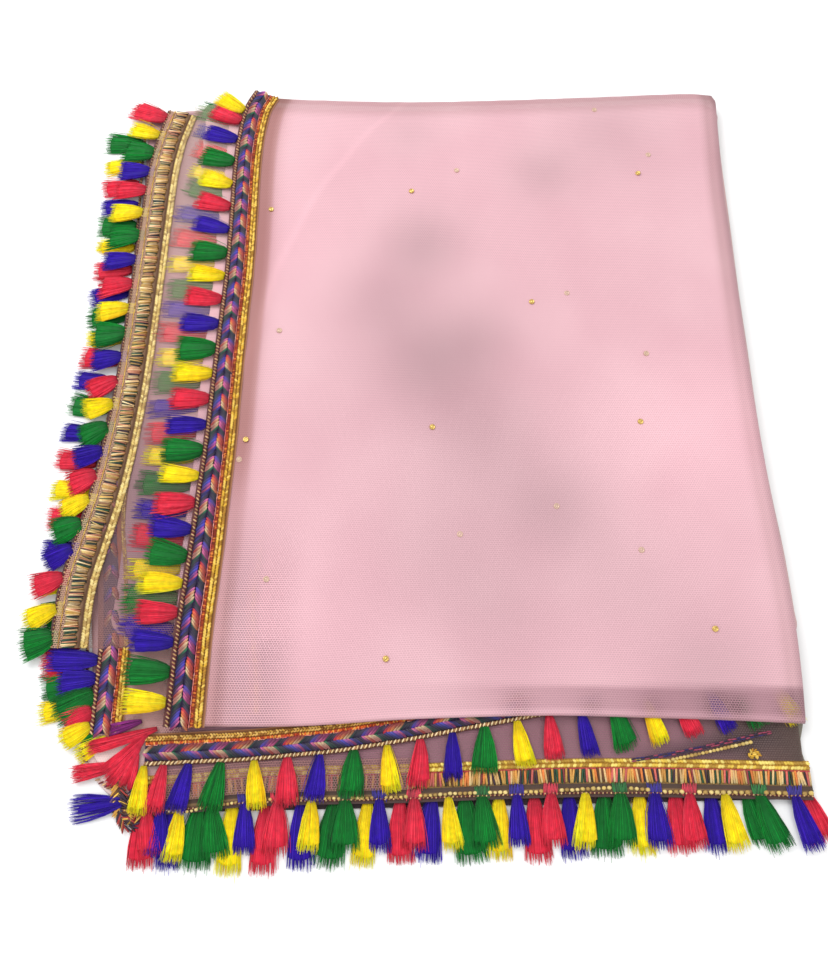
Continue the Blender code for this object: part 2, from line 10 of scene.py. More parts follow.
import bpy
import numpy as np
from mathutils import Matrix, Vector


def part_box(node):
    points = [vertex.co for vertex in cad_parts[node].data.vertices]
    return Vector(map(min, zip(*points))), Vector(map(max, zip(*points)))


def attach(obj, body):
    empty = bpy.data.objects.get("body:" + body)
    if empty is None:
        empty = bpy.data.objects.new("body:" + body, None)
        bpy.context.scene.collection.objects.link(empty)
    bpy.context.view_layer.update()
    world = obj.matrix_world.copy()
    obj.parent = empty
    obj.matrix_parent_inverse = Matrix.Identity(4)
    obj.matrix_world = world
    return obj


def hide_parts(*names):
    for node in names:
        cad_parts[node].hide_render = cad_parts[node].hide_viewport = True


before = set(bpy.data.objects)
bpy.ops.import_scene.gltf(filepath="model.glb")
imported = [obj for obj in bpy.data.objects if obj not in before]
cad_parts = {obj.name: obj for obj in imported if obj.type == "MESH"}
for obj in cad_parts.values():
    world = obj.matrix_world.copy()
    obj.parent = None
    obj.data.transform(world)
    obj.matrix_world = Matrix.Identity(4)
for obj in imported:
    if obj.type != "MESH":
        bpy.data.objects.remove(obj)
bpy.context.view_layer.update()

bl_info = {
    "name": "Folded net dupatta",
    "version": (1, 0, 0),
    "blender": (4, 5, 0),
    "location": "View3D > Sidebar > Stole",
    "description": "Dresses the folded stole with net, braid, cords, tassels and studs",
    "category": "Object",
}

MM = 0.001

# ---- where the layout frame lies in the model ----------------------------------------------------
END_PANEL_RIGHT, END_PANEL_FAR = 213.0, 56.0
_END_PANEL_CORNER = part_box("net_panel_end")[1]
LAYOUT_ORIGIN = np.array(
    (_END_PANEL_CORNER.x - END_PANEL_RIGHT * MM, _END_PANEL_CORNER.y - END_PANEL_FAR * MM, 0.0)
)

# ---- the cloth, as in the solids -----------------------------------------------------------------
FOLD_RADIUS = 2.6
EDGE_START = 19.3
EDGE_WIDTH = 4.6
OUTER = EDGE_START + EDGE_WIDTH
HIDDEN_LAYERS = (
    # bottom, top, left, right inset, near, far inset, radius of the near left corner
    (0.0, 2.0, None, 0.0, None, 8.0, 46.0),
    (2.0, 4.0, -293.0, 0.9, -40.0, 5.0, 34.0),
    (4.0, 6.4, -289.0, 2.0, 60.0, 9.0, 14.0),
    (6.4, 8.7, -262.0, 1.2, 62.0, 4.5, 14.0),
    (8.7, 11.0, -240.0, 5.0, 58.0, 7.0, 14.0),
)
LIP_SECTION = (
    # share of the layer's height, inset
    (0.04, 1.6),
    (0.20, 0.45),
    (0.50, 0.0),
    (0.80, 0.45),
    (0.97, 1.7),
)
LIP_WAVE, LIP_TURNS = 0.7, 20.4
LOWEST_REACH = EDGE_START - 0.9
CORNER_RADIUS = 14.0
CORNER_X, CORNER_Y = 210.0, 560.0
CORNER_STEPS = 8
SIDE_STEPS = 60
RIGHT_EDGE = (
    # y, x of the outermost layer on the right
    (-60.0, 214.0),
    (-45.0, 213.5),
    (-21.0, 211.0),
    (-4.0, 211.5),
    (8.0, 216.0),
    (45.0, 218.6),
    (78.0, 219.0),
    (124.0, 217.5),
    (172.0, 214.4),
    (224.0, 212.6),
    (277.0, 211.6),
    (395.0, 211.8),
    (458.0, 212.0),
    (525.0, 213.4),
    (575.0, 215.5),
)
FAR_EDGE = (
    # x, y
    (-330.0, 562.0),
    (-208.0, 563.0),
    (-175.0, 561.0),
    (-82.0, 559.0),
    (11.0, 562.0),
    (104.0, 567.0),
    (189.0, 571.5),
    (213.0, 569.0),
    (240.0, 566.0),
)
NEAR_EDGE = (
    # x, y
    (-240.0, -3.0),
    (-211.0, -3.0),
    (-143.0, -2.0),
    (-73.0, 3.0),
    (-3.0, 6.0),
    (44.0, 7.0),
    (103.0, 6.0),
    (152.0, 5.0),
    (214.0, 3.0),
)
TOP_RIGHT_EDGE = (
    # y, x
    (-5.0, 212.0),
    (8.0, 213.2),
    (45.0, 214.6),
    (78.0, 214.8),
    (124.0, 213.0),
    (172.0, 210.2),
    (224.0, 208.4),
    (277.0, 207.4),
    (395.0, 207.6),
    (458.0, 207.8),
    (525.0, 210.6),
    (575.0, 213.0),
)
FAR_CORNER = 9.0

# ---- the inner edge of each stretch of border ----------------------------------------------------
BORDER_TOP_LEFT = (
    # x, y
    (-212.8, -4.0),
    (-212.6, 30.0),
    (-212.0, 72.0),
    (-210.5, 105.0),
    (-209.2, 140.0),
    (-208.4, 170.0),
    (-207.1, 215.0),
    (-206.9, 268.0),
    (-206.2, 324.0),
    (-205.3, 373.0),
    (-206.0, 425.0),
    (-207.2, 479.0),
    (-206.5, 512.0),
    (-202.5, 546.0),
    (-195.5, 563.0),
)
BORDER_SECOND_LEFT = (
    # x, y
    (-302.2, 52.0),
    (-302.6, 87.0),
    (-301.2, 105.0),
    (-296.0, 134.0),
    (-290.5, 166.0),
    (-286.5, 200.0),
    (-284.0, 235.0),
    (-282.3, 271.0),
    (-281.6, 330.0),
    (-281.6, 430.0),
    (-281.3, 473.0),
    (-280.0, 496.0),
    (-277.0, 519.0),
    (-270.6, 548.0),
)
BORDER_THIRD_LEFT = (
    # x, y
    (-271.0, -8.0),
    (-271.5, 15.0),
    (-272.3, 52.0),
)
BORDER_THIRD_COVERED = (
    # x, y: the same border on its way up under the second net
    (-272.5, 54.0),
    (-279.0, 103.0),
    (-288.0, 159.0),
    (-289.0, 215.0),
)
BORDER_END_UPPER = (
    # x, y
    (204.0, 54.0),
    (150.0, 47.0),
    (100.0, 39.0),
    (45.0, 30.0),
    (-3.0, 21.0),
    (-40.0, 14.0),
    (-73.0, 7.5),
    (-123.0, -0.5),
    (-144.0, -2.5),
    (-179.0, -6.0),
    (-214.0, -8.0),
    (-252.0, -10.0),
)
BORDER_END_LOWER = (
    # x, y
    (213.0, -22.0),
    (137.0, -21.2),
    (95.0, -21.0),
    (39.0, -21.8),
    (-17.0, -24.0),
    (-73.0, -26.5),
    (-141.0, -28.5),
    (-185.0, -30.5),
    (-215.0, -34.0),
    (-250.0, -36.5),
)
BORDER_END_LOWEST = (
    # x, y
    (214.0, -23.4),
    (90.0, -27.1),
    (-20.0, -30.4),
    (-130.0, -33.7),
    (-245.0, -37.2),
    (-255.0, -37.5),
)
BORDER_LEFT_LOWEST = (
    # x, y
    (-277.0, -14.0),
    (-279.0, 30.0),
    (-288.0, 90.0),
    (-295.0, 150.0),
    (-294.0, 220.0),
    (-287.0, 300.0),
    (-288.0, 350.0),
    (-291.0, 420.0),
    (-296.0, 512.0),
    (-297.0, 535.0),
)
CORNER_TURN = (
    # x, y
    (-262.0, -26.0),
    (-272.0, -20.0),
    (-279.0, -8.0),
)
BORDER_UNDER_TOP = (
    # x, y: a border of an inner layer, seen only as a shade through the top net
    (-173.0, 6.0),
    (-175.0, 30.0),
    (-180.0, 70.0),
    (-181.0, 95.0),
    (-179.0, 125.0),
    (-180.0, 168.0),
)
BORDER_UNDER_SECOND = (
    # x, y: the border whose tassels show muted beside the top ones
    (-217.0, 60.0),
    (-216.0, 165.0),
    (-215.0, 250.0),
    (-214.0, 343.0),
    (-213.0, 419.0),
    (-209.0, 470.0),
    (-207.0, 540.0),
)

# ---- rows of tassels -----------------------------------------------------------------------------
LEAN_TOP_LEFT = (
    # distance along the border, degrees towards the border's far end
    (0.0, 2.0),
    (300.0, 2.0),
    (350.0, 9.0),
    (400.0, 15.0),
    (465.0, 20.0),
    (510.0, 16.0),
    (535.0, 24.0),
    (565.0, 28.0),
)
LEAN_SECOND_LEFT = (
    # distance, degrees
    (0.0, -13.0),
    (30.0, -22.0),
    (60.0, -33.0),
    (100.0, -33.0),
    (150.0, -22.0),
    (180.0, -24.0),
    (225.0, -14.0),
    (265.0, -5.0),
    (330.0, 0.0),
    (400.0, 4.0),
    (450.0, 4.0),
    (480.0, 8.0),
    (512.0, 6.0),
)
LEAN_THIRD_LEFT = (
    # distance, degrees
    (0.0, -32.0),
    (15.0, -24.0),
    (28.0, -30.0),
    (39.0, -6.0),
    (55.0, 3.0),
)
LEAN_END_UPPER = (
    # distance, degrees
    (0.0, -25.0),
    (60.0, -20.0),
    (105.0, -12.0),
    (150.0, -3.0),
    (200.0, 5.0),
    (300.0, 10.0),
    (350.0, 7.0),
    (390.0, 3.0),
    (410.0, 14.0),
    (461.0, 6.0),
)
LEAN_END_LOWER = (
    # distance, degrees
    (0.0, -17.0),
    (37.0, -17.0),
    (62.0, -5.0),
    (110.0, 0.0),
    (460.0, 3.0),
)
LENGTH_SECOND_LEFT = (
    # distance along the border, length
    (0.0, 25.0),
    (80.0, 24.0),
    (230.0, 26.0),
    (300.0, 29.0),
    (470.0, 30.0),
    (490.0, 36.0),
)
LENGTH_THIRD_LEFT = (
    # distance, length
    (0.0, 24.0),
    (16.0, 21.0),
    (28.0, 31.0),
    (39.0, 29.0),
    (52.0, 37.0),
)
LENGTH_END_LOWER = (
    # distance, length
    (0.0, 37.0),
    (130.0, 35.0),
    (250.0, 32.5),
    (440.0, 32.0),
    (463.0, 27.0),
)
LENGTH_END_LOWEST = (
    # distance, length
    (0.0, 34.0),
    (120.0, 38.0),
    (220.0, 40.5),
    (290.0, 41.5),
    (400.0, 43.5),
    (464.0, 40.5),
)
LEAN_LEFT_LOWEST = (
    # distance, degrees
    (0.0, -8.0),
    (70.0, -8.0),
    (110.0, 0.0),
)
BRUSH = (
    # share of the length, half width, half height: pressed flat between the layers
    (0.00, 3.4, 1.2),
    (0.08, 4.9, 1.5),
    (0.30, 6.9, 1.5),
    (0.60, 8.3, 1.3),
    (1.00, 9.3, 0.9),
)
WIDE_BRUSH = (
    # share, half width, half height
    (0.00, 3.8, 1.2),
    (0.08, 5.4, 1.5),
    (0.30, 7.6, 1.5),
    (0.60, 9.2, 1.3),
    (1.00, 10.6, 0.9),
)
DROP = (
    # the same, hanging free over the edge
    (0.00, 2.2, 1.2),
    (0.10, 3.1, 1.5),
    (0.35, 5.0, 1.5),
    (0.65, 6.4, 1.2),
    (1.00, 7.3, 0.8),
)
FULL_DROP = (
    # share, half width, half height
    (0.00, 2.5, 1.2),
    (0.10, 3.6, 1.5),
    (0.35, 5.8, 1.5),
    (0.65, 7.4, 1.2),
    (1.00, 8.4, 0.8),
)
WIDE_DROP = (
    # share, half width, half height
    (0.00, 3.0, 1.2),
    (0.10, 4.4, 1.5),
    (0.35, 6.8, 1.5),
    (0.65, 8.5, 1.2),
    (1.00, 9.7, 0.8),
)
TASSEL_ROWS = {
    # border: (number, distance) at a few tassels, colours in order, length,
    # height of the root, the middle and the tip, lean, shape
    "top_left": (
        ((0, 16.5), (8, 188.0), (16, 371.0), (22, 516.0), (23, 536.0), (24, 547.0)),
        "YGBRYGBRYGBRYGBRYGBRYGBRY", 32.0, 14.8, 13.7, 12.3, LEAN_TOP_LEFT, BRUSH,
    ),
    "second_left": (
        ((0, 8.0), (6, 134.0), (12, 265.0), (18, 411.0), (20, 450.0), (22, 488.0)),
        "GYRBGYRBGYRBGYRBGYRBGYR", LENGTH_SECOND_LEFT, 7.4, 6.8, 4.8, LEAN_SECOND_LEFT, WIDE_BRUSH,
    ),
    "third_left": (
        ((0, 6.0), (1, 16.0), (2, 28.0), (3, 39.0), (4, 52.0)),
        "YRGBB", LENGTH_THIRD_LEFT, 6.0, 5.6, 4.3, LEAN_THIRD_LEFT, BRUSH,
    ),
    "end_upper": (
        ((0, 14.5), (18, 430.0), (20, 461.0)),
        "YGBRYGBRYGBRYGBRYGBRY", 31.0, 6.9, 7.9, 7.1, LEAN_END_UPPER, DROP,
    ),
    "end_lower": (
        ((0, 12.8), (8, 206.0), (16, 394.0), (18, 439.0), (20, 461.0)),
        "BGYRBGYRBGYRBGYRBGYBR", LENGTH_END_LOWER, 4.9, 3.9, 3.4, LEAN_END_LOWER, FULL_DROP,
    ),
    "end_lowest": (
        ((0, 7.0), (1, 46.0), (2, 72.0), (5, 146.0), (9, 242.0), (13, 332.0), (17, 425.0), (19, 464.0)),
        "RGBRYGBRYGBRYGBRYGBR", LENGTH_END_LOWEST, 1.8, 1.5, 1.3, LEAN_END_LOWER, WIDE_DROP,
    ),
    "left_lowest": (
        ((0, 26.0), (1, 46.0), (2, 61.0), (3, 78.0), (4, 100.0), (23, 536.0)),
        "YGRRGYBRYRBGBRYGBRYGBRYG", 33.0, 1.6, 1.6, 1.4, LEAN_LEFT_LOWEST, BRUSH,
    ),
    "under_second": (
        ((0, 6.0), (21, 480.0)),
        "BGYRBGYRBGYRBGYRBGYRBG", 42.0, 9.6, 9.3, 7.3, LEAN_TOP_LEFT, BRUSH,
    ),
}
LOOSE_TASSELS = (
    # colour, root x, y, z, tip x, y, z, half width at the tip: the ones crowded round the corner
    ("R", -244.5, -4.5, 7.8, -289.0, -19.5, 6.2, 4.6),
    ("R", -250.7, -8.5, 7.6, -279.0, -33.0, 5.4, 4.4),
    ("R", -253.0, -12.0, 7.2, -273.5, -42.0, 4.6, 3.6),
    ("R", -255.0, -16.0, 6.8, -266.5, -41.0, 4.4, 2.8),
    ("R", -256.0, -22.0, 6.2, -260.0, -45.0, 4.2, 2.6),
    ("R", -268.0, -29.0, 4.8, -300.0, -36.6, 2.8, 5.6),
    ("Y", -279.0, -11.0, 4.4, -300.0, -23.0, 3.0, 6.4),
    ("G", -284.0, -4.0, 4.8, -298.0, -11.0, 3.4, 4.0),
    ("P", -256.0, 0.5, 7.6, -280.0, -7.0, 6.4, 4.2),
    ("B", -264.0, -53.5, 3.4, -298.0, -59.5, 1.4, 9.5),
)
LOOSE_CURL = (
    # x, y, z of the crocheted edge where it curls round the corner
    (-269.3, -29.2, 4.2),
    (-268.9, -38.3, 3.8),
    (-267.6, -47.3, 3.4),
    (-266.8, -55.0, 3.0),
    (-264.0, -62.0, 2.6),
    (-259.4, -67.5, 2.4),
    (-254.5, -66.0, 2.6),
    (-256.3, -58.7, 3.4),
    (-260.0, -53.6, 4.2),
    (-260.8, -46.0, 5.0),
)

# ---- studs: x, y of the ones on the top net, and of the ones that show dimly through it ----------
STUDS_ON_TOP = (
    (-70.0, 457.0),
    (132.0, 479.0),
    (-51.0, 228.0),
    (114.0, 234.0),
    (-84.0, 45.0),
    (155.0, 69.0),
    (32.0, 344.0),
    (-198.0, 216.0),
    (-193.0, 437.0),
)
STUDS_BELOW = (
    (-202.0, 199.0),
    (98.0, 552.0),
    (-30.0, 480.0),
    (62.0, 353.0),
    (143.0, 500.0),
    (124.0, 296.0),
    (-178.0, 315.0),
    (-174.0, 103.0),
    (-30.0, 139.0),
    (44.0, 162.0),
    (106.0, 128.0),
)

# ---- colours, linear red, green, blue ------------------------------------------------------------
TASSEL_COLOURS = {
    # letter: main thread, lighter thread, darker thread, which also gives the painted shade
    "Y": ((1.0, 0.80, 0.0), (1.0, 0.92, 0.03), (0.85, 0.42, 0.005)),
    "R": ((0.78, 0.025, 0.065), (0.95, 0.075, 0.13), (0.46, 0.006, 0.025)),
    "B": ((0.026, 0.002, 0.36), (0.07, 0.018, 0.60), (0.011, 0.0, 0.17)),
    "G": ((0.0, 0.20, 0.022), (0.0, 0.36, 0.04), (0.0, 0.055, 0.012)),
    "P": ((0.24, 0.02, 0.18), (0.42, 0.05, 0.34), (0.05, 0.003, 0.06)),
}
TASSEL_FULLNESS = {"P": 1.0, "Y": 0.92, "R": 1.05, "B": 0.95, "G": 1.22}
CREAM, PEACH, ORANGE = (1.0, 0.80, 0.38), (1.0, 0.50, 0.24), (1.0, 0.35, 0.06)
ORANGE_RED, RED, CRIMSON = (0.92, 0.14, 0.03), (0.80, 0.06, 0.03), (0.48, 0.01, 0.04)
PINK, MAGENTA, LILAC = (0.95, 0.20, 0.42), (0.55, 0.03, 0.20), (0.45, 0.14, 0.55)
VIOLET, DARK_VIOLET, PURPLE = (0.16, 0.05, 0.40), (0.04, 0.015, 0.14), (0.14, 0.02, 0.14)
BRIGHT_BLUE, BLUE, INDIGO = (0.06, 0.08, 0.62), (0.04, 0.04, 0.42), (0.02, 0.01, 0.18)
NAVY, GREEN, DARK_GREEN = (0.010, 0.004, 0.04), (0.02, 0.26, 0.10), (0.0, 0.09, 0.04)
BRAID_INNER = (
    # colour at the braid's side, at its middle: sixteen rows make one repeat
    (ORANGE, CREAM),
    (ORANGE_RED, CREAM),
    (RED, ORANGE),
    (RED, ORANGE_RED),
    (CRIMSON, CRIMSON),
    (PURPLE, NAVY),
    (NAVY, NAVY),
    (NAVY, DARK_GREEN),
    (MAGENTA, PINK),
    (MAGENTA, PINK),
    (MAGENTA, VIOLET),
    (VIOLET, BLUE),
    (DARK_VIOLET, NAVY),
    (NAVY, NAVY),
    (NAVY, NAVY),
    (NAVY, DARK_GREEN),
)
BRAID_OUTER = (
    # the same for the column beside the tassels
    (MAGENTA, PINK),
    (VIOLET, LILAC),
    (BLUE, BRIGHT_BLUE),
    (INDIGO, BLUE),
    (NAVY, INDIGO),
    (NAVY, NAVY),
    (DARK_GREEN, NAVY),
    (DARK_GREEN, GREEN),
    (PEACH, CREAM),
    (PEACH, CREAM),
    (RED, PEACH),
    (PURPLE, PINK),
    (PURPLE, NAVY),
    (NAVY, NAVY),
    (BLUE, NAVY),
    (INDIGO, BLUE),
)
# what a bundle's colours are multiplied by: painted shade at the braid's side, where it dips, and a painted
# highlight at its middle
BRAID_PAINTED_SHADE_AND_HIGHLIGHT = ((0.38, 0.26, 0.46), (1.6, 1.0, 1.15))
# height of each row of the braid, over and over
BRAID_RELIEF = (-0.1, 0.5, 0.8, 0.6, 0.1, -0.4, -0.6, -0.45)
RIB_LIGHT_COLOURS = (
    (0.62, 0.42, 0.10),
    (0.80, 0.64, 0.32),
    (0.54, 0.34, 0.10),
    (0.86, 0.70, 0.38),
    (0.58, 0.27, 0.15),
    (0.62, 0.46, 0.16),
)
RIB_DARK_COLOURS = (
    (0.03, 0.02, 0.02),
    (0.01, 0.09, 0.04),
    (0.02, 0.05, 0.03),
    (0.06, 0.02, 0.05),
    (0.01, 0.12, 0.06),
    (0.02, 0.05, 0.05),
)
LOWER_RIB_LIGHT_COLOURS = (
    (0.90, 0.72, 0.36),
    (0.78, 0.46, 0.10),
    (0.86, 0.30, 0.07),
    (0.88, 0.66, 0.28),
    (0.78, 0.50, 0.12),
    (0.78, 0.20, 0.18),
)
LOWER_RIB_DARK_COLOURS = (
    (0.01, 0.11, 0.05),
    (0.03, 0.03, 0.02),
    (0.16, 0.06, 0.02),
    (0.30, 0.05, 0.08),
    (0.02, 0.07, 0.04),
    (0.05, 0.02, 0.06),
)
RIB_END_SHADES = ((0.78, 0.60, 0.50), (1.35, 1.35, 1.45))
LOWER_RIB_END_SHADES = ((0.90, 0.70, 0.60), (0.66, 0.64, 0.62))
ROPE_COLOURS = ((0.66, 0.42, 0.20), (0.15, 0.018, 0.022), (0.44, 0.24, 0.10), (0.11, 0.012, 0.03))
LIGHT_ROPE_COLOURS = ((0.80, 0.58, 0.28), (0.36, 0.17, 0.06), (0.86, 0.68, 0.40), (0.16, 0.06, 0.02))
GOLD_COLOURS = ((0.72, 0.42, 0.03), (0.86, 0.58, 0.10), (0.44, 0.21, 0.015))
BRIGHT_GOLD_COLOURS = ((0.78, 0.54, 0.07), (0.90, 0.72, 0.18), (0.46, 0.26, 0.03))
PALE_GOLD_COLOURS = ((0.68, 0.49, 0.15), (0.80, 0.62, 0.24), (0.46, 0.29, 0.08))
DULL_GOLD_COLOURS = ((0.66, 0.37, 0.06), (0.80, 0.50, 0.13), (0.36, 0.15, 0.02))
COPPER_COLOURS = ((0.50, 0.07, 0.015), (0.80, 0.24, 0.04), (0.30, 0.03, 0.012))
BRIGHT_COPPER_COLOURS = ((0.86, 0.16, 0.02), (0.95, 0.42, 0.08), (0.60, 0.07, 0.015))
DARK_ROPE_COLOURS = ((0.10, 0.05, 0.02), (0.04, 0.008, 0.01), (0.06, 0.03, 0.015), (0.03, 0.005, 0.01))
CURL_COLOURS = (
    (0.05, 0.02, 0.02),
    (0.60, 0.30, 0.05),
    (0.03, 0.012, 0.04),
    (0.36, 0.04, 0.03),
    (0.80, 0.46, 0.06),
    (0.14, 0.05, 0.02),
    (0.04, 0.015, 0.02),
)


# ---- settings that a user may change -------------------------------------------------------------
class StoleCloth(bpy.types.PropertyGroup):
    mesh_width: bpy.props.FloatProperty(
        name="Mesh width", description="Width of one hole of the net", default=1.85 * MM, unit="LENGTH"
    )
    mesh_height: bpy.props.FloatProperty(
        name="Mesh height", description="Height of one hole of the net", default=1.55 * MM, unit="LENGTH"
    )
    thread: bpy.props.FloatProperty(
        name="Thread", description="Thickness of the net's thread", default=0.42 * MM, unit="LENGTH"
    )
    net_colour: bpy.props.FloatVectorProperty(
        name="Net colour", description="Colour of the net", subtype="COLOR", default=(0.81, 0.485, 0.535)
    )


class StoleTrim(bpy.types.PropertyGroup):
    braid_pitch: bpy.props.FloatProperty(
        name="Braid pitch", description="Distance between two rows", default=2.2 * MM, unit="LENGTH"
    )
    strands: bpy.props.IntProperty(
        name="Strands", description="Strands of thread in one tassel", default=112, min=12, max=200
    )
    strand_width: bpy.props.FloatProperty(
        name="Strand", description="Thickness of one strand", default=0.5 * MM, unit="LENGTH"
    )
    stud_size: bpy.props.FloatProperty(
        name="Stud", description="Diameter of a stud", default=4.6 * MM, unit="LENGTH"
    )


# ---- reading the tables --------------------------------------------------------------------------
def interpolate(table, value):
    """Read a two-column table at values of its first column, with a smooth curve between rows."""
    rows = np.asarray(table, float)
    keys, data = rows[:, 0], rows[:, 1]
    last = len(keys) - 2
    value = np.asarray(value, float)
    index = np.clip(np.searchsorted(keys, value) - 1, 0, last)
    before, after = np.maximum(index - 1, 0), np.minimum(index + 2, last + 1)
    span = keys[index + 1] - keys[index]
    share = np.clip((value - keys[index]) / span, 0.0, 1.0)
    slope_low = (data[index + 1] - data[before]) / (keys[index + 1] - keys[before]) * span
    slope_high = (data[after] - data[index]) / (keys[after] - keys[index]) * span
    square, cube = share**2, share**3
    return (
        (2 * cube - 3 * square + 1) * data[index]
        + (cube - 2 * square + share) * slope_low
        + (3 * square - 2 * cube) * data[index + 1]
        + (cube - square) * slope_high
    )


def smooth_step(low, high, value):
    share = np.clip((np.asarray(value, float) - low) / (high - low), 0.0, 1.0)
    return share * share * (3 - 2 * share)


NEAR_HEIGHT = 12.2
MAIN_HEIGHT = 13.8
TOP_LOWEST, SECOND_LOWEST = 8.6, 6.2
SECOND_FOLD_Y, SECOND_FAR_Y = 52.0, 562.0
SECOND_RIGHT = 206.0
CREASE_POINT = (-150.0, 470.0)
CREASE_ACROSS = (0.74, -0.67)
CREASE_WIDTH = 26.0
CREASE_HEIGHT = 1.5
WAVES = (
    # height, turns per millimetre along x, and along y, start
    (0.55, 0.021, 0.0, 0.9),
    (0.45, -0.011, 0.016, 0.0),
)
SECOND_SLOPE = (
    # x, height of the upper face
    (-340.0, 7.4),
    (-300.0, 7.6),
    (-281.0, 8.3),
    (-264.0, 10.3),
    (-246.0, 12.1),
    (-232.0, 12.3),
    (-216.0, 12.3),
    (220.0, 12.3),
)
TOP_LEFT_GROUND = (
    # y, height of the top panel's upper face along its left edge
    (0.0, NEAR_HEIGHT),
    (5.0, NEAR_HEIGHT),
    (27.5, (NEAR_HEIGHT + MAIN_HEIGHT) / 2),
    (50.0, MAIN_HEIGHT),
    (570.0, MAIN_HEIGHT),
)


def main_height(x, y):
    """Upper face of the top panel away from its folded edges."""
    inside = smooth_step(-195.0, -120.0, x) * smooth_step(70.0, 130.0, y) * smooth_step(545.0, 480.0, y)
    off_crease = CREASE_ACROSS[0] * (x - CREASE_POINT[0]) + CREASE_ACROSS[1] * (y - CREASE_POINT[1])
    crease = CREASE_HEIGHT * np.exp(-((off_crease / CREASE_WIDTH) ** 2))
    waves = sum(height * (1 + np.sin(by_x * x + by_y * y + start)) for height, by_x, by_y, start in WAVES)
    height = NEAR_HEIGHT + (MAIN_HEIGHT - NEAR_HEIGHT) * smooth_step(5.0, 50.0, y)
    return height + inside * (crease + waves)


def second_height(x, y):
    return interpolate(SECOND_SLOPE, x)


UP = np.array((0.0, 0.0, 1.0))


def unit(vectors):
    return vectors / np.linalg.norm(vectors, axis=-1, keepdims=True)


def running_length(points):
    """How far along the line through some points each of them lies."""
    steps = np.linalg.norm(np.diff(points, axis=0), axis=1)
    return np.concatenate([[0.0], np.cumsum(steps)])


class Border:
    """A stretch of border: its inner edge line, and the height of what it lies on."""

    def __init__(self, rows, ground, width=1.0):
        points = np.array(rows, float)
        marks = running_length(points)
        self.length = marks[-1]
        self.x_table = np.column_stack([marks, points[:, 0]])
        self.y_table = np.column_stack([marks, points[:, 1]])
        self.ground = ground
        self.width = ((0.0, width), (1.0, width)) if np.isscalar(width) else width

    def line(self, distance):
        return np.stack([interpolate(self.x_table, distance), interpolate(self.y_table, distance)], axis=-1)

    def axes(self, distance):
        """Unit vectors along the border and out towards its tassels, as rows of x, y, z."""
        low, high = np.maximum(distance - 1.0, 0.0), np.minimum(distance + 1.0, self.length)
        run = unit(self.line(high) - self.line(low))
        flat = np.zeros(run.shape[:-1] + (1,))
        along = np.concatenate([run, flat], axis=-1)
        outward = np.concatenate([-run[..., 1:], run[..., :1], flat], axis=-1)
        return along, outward

    def place(self, lateral, distance, lift=0.0):
        lateral, distance, lift = np.broadcast_arrays(
            np.asarray(lateral, float), np.asarray(distance, float), np.asarray(lift, float)
        )
        _, outward = self.axes(distance)
        point = outward * (lateral * interpolate(self.width, distance))[..., None]
        point[..., :2] += self.line(distance)
        point[..., 2] = self.ground(point[..., 0], point[..., 1]) + lift
        return point


def level(height):
    return lambda x, *_: np.full(np.shape(x), height)


TOP_LEFT_WIDTH = (
    # distance, share of the usual width
    (0.0, 1.14),
    (80.0, 1.11),
    (180.0, 1.06),
    (260.0, 1.02),
    (340.0, 0.99),
    (565.0, 1.0),
)


BORDERS = {
    "top_left": Border(
        BORDER_TOP_LEFT, lambda x, y: interpolate(TOP_LEFT_GROUND, y) + 0.3, TOP_LEFT_WIDTH
    ),
    "second_left": Border(BORDER_SECOND_LEFT, level(6.8), 1.16),
    "third_left": Border(BORDER_THIRD_LEFT, level(5.7), 0.95),
    "third_covered": Border(BORDER_THIRD_COVERED, level(6.0), 0.95),
    "end_upper": Border(BORDER_END_UPPER, level(6.3), 0.86),
    "end_lower": Border(BORDER_END_LOWER, level(4.3), 1.0),
    "end_lowest": Border(BORDER_END_LOWEST, level(0.5)),
    "left_lowest": Border(BORDER_LEFT_LOWEST, level(0.5)),
    "corner_turn": Border(CORNER_TURN, level(2.2)),
    "under_top": Border(BORDER_UNDER_TOP, level(11.1)),
    "under_second": Border(BORDER_UNDER_SECOND, level(8.9)),
}



# ---- making meshes -------------------------------------------------------------------------------
def put_mesh(name, points, corners, starts, material, tints, corner_uv=None):
    """A mesh object from arrays: points in the layout frame, and the point of each face corner."""
    mesh = bpy.data.meshes.new(name)
    mesh.vertices.add(len(points))
    mesh.vertices.foreach_set("co", (points * MM + LAYOUT_ORIGIN).astype(np.float32).ravel())
    mesh.loops.add(len(corners))
    mesh.loops.foreach_set("vertex_index", corners.astype(np.int32))
    mesh.polygons.add(len(starts))
    mesh.polygons.foreach_set("loop_start", starts.astype(np.int32))
    mesh.update(calc_edges=True)
    if corner_uv is not None:
        layer = mesh.uv_layers.new(name="cloth")
        layer.data.foreach_set("uv", corner_uv.astype(np.float32).ravel())
    if tints.shape[1] == 3:
        tints = np.concatenate([tints, np.ones((len(tints), 1))], axis=1)
    colour = mesh.color_attributes.new(name="tint", type="FLOAT_COLOR", domain="POINT")
    colour.data.foreach_set("color", tints.astype(np.float32).ravel())
    mesh.validate()
    mesh.materials.append(material)
    mesh.shade_smooth()
    thing = bpy.data.objects.new(name, mesh)
    bpy.context.scene.collection.objects.link(thing)
    return thing


def grid_faces(rows, columns, wrap=False):
    """Corners of the quads of a grid of points; wrap joins its last column to its first."""
    index = np.arange(rows * columns).reshape(rows, columns)
    right = np.roll(index, -1, axis=1)
    if not wrap:
        index, right = index[:, :-1], right[:, :-1]
    return np.stack([index[:-1], right[:-1], right[1:], index[1:]], axis=-1).reshape(-1, 4)


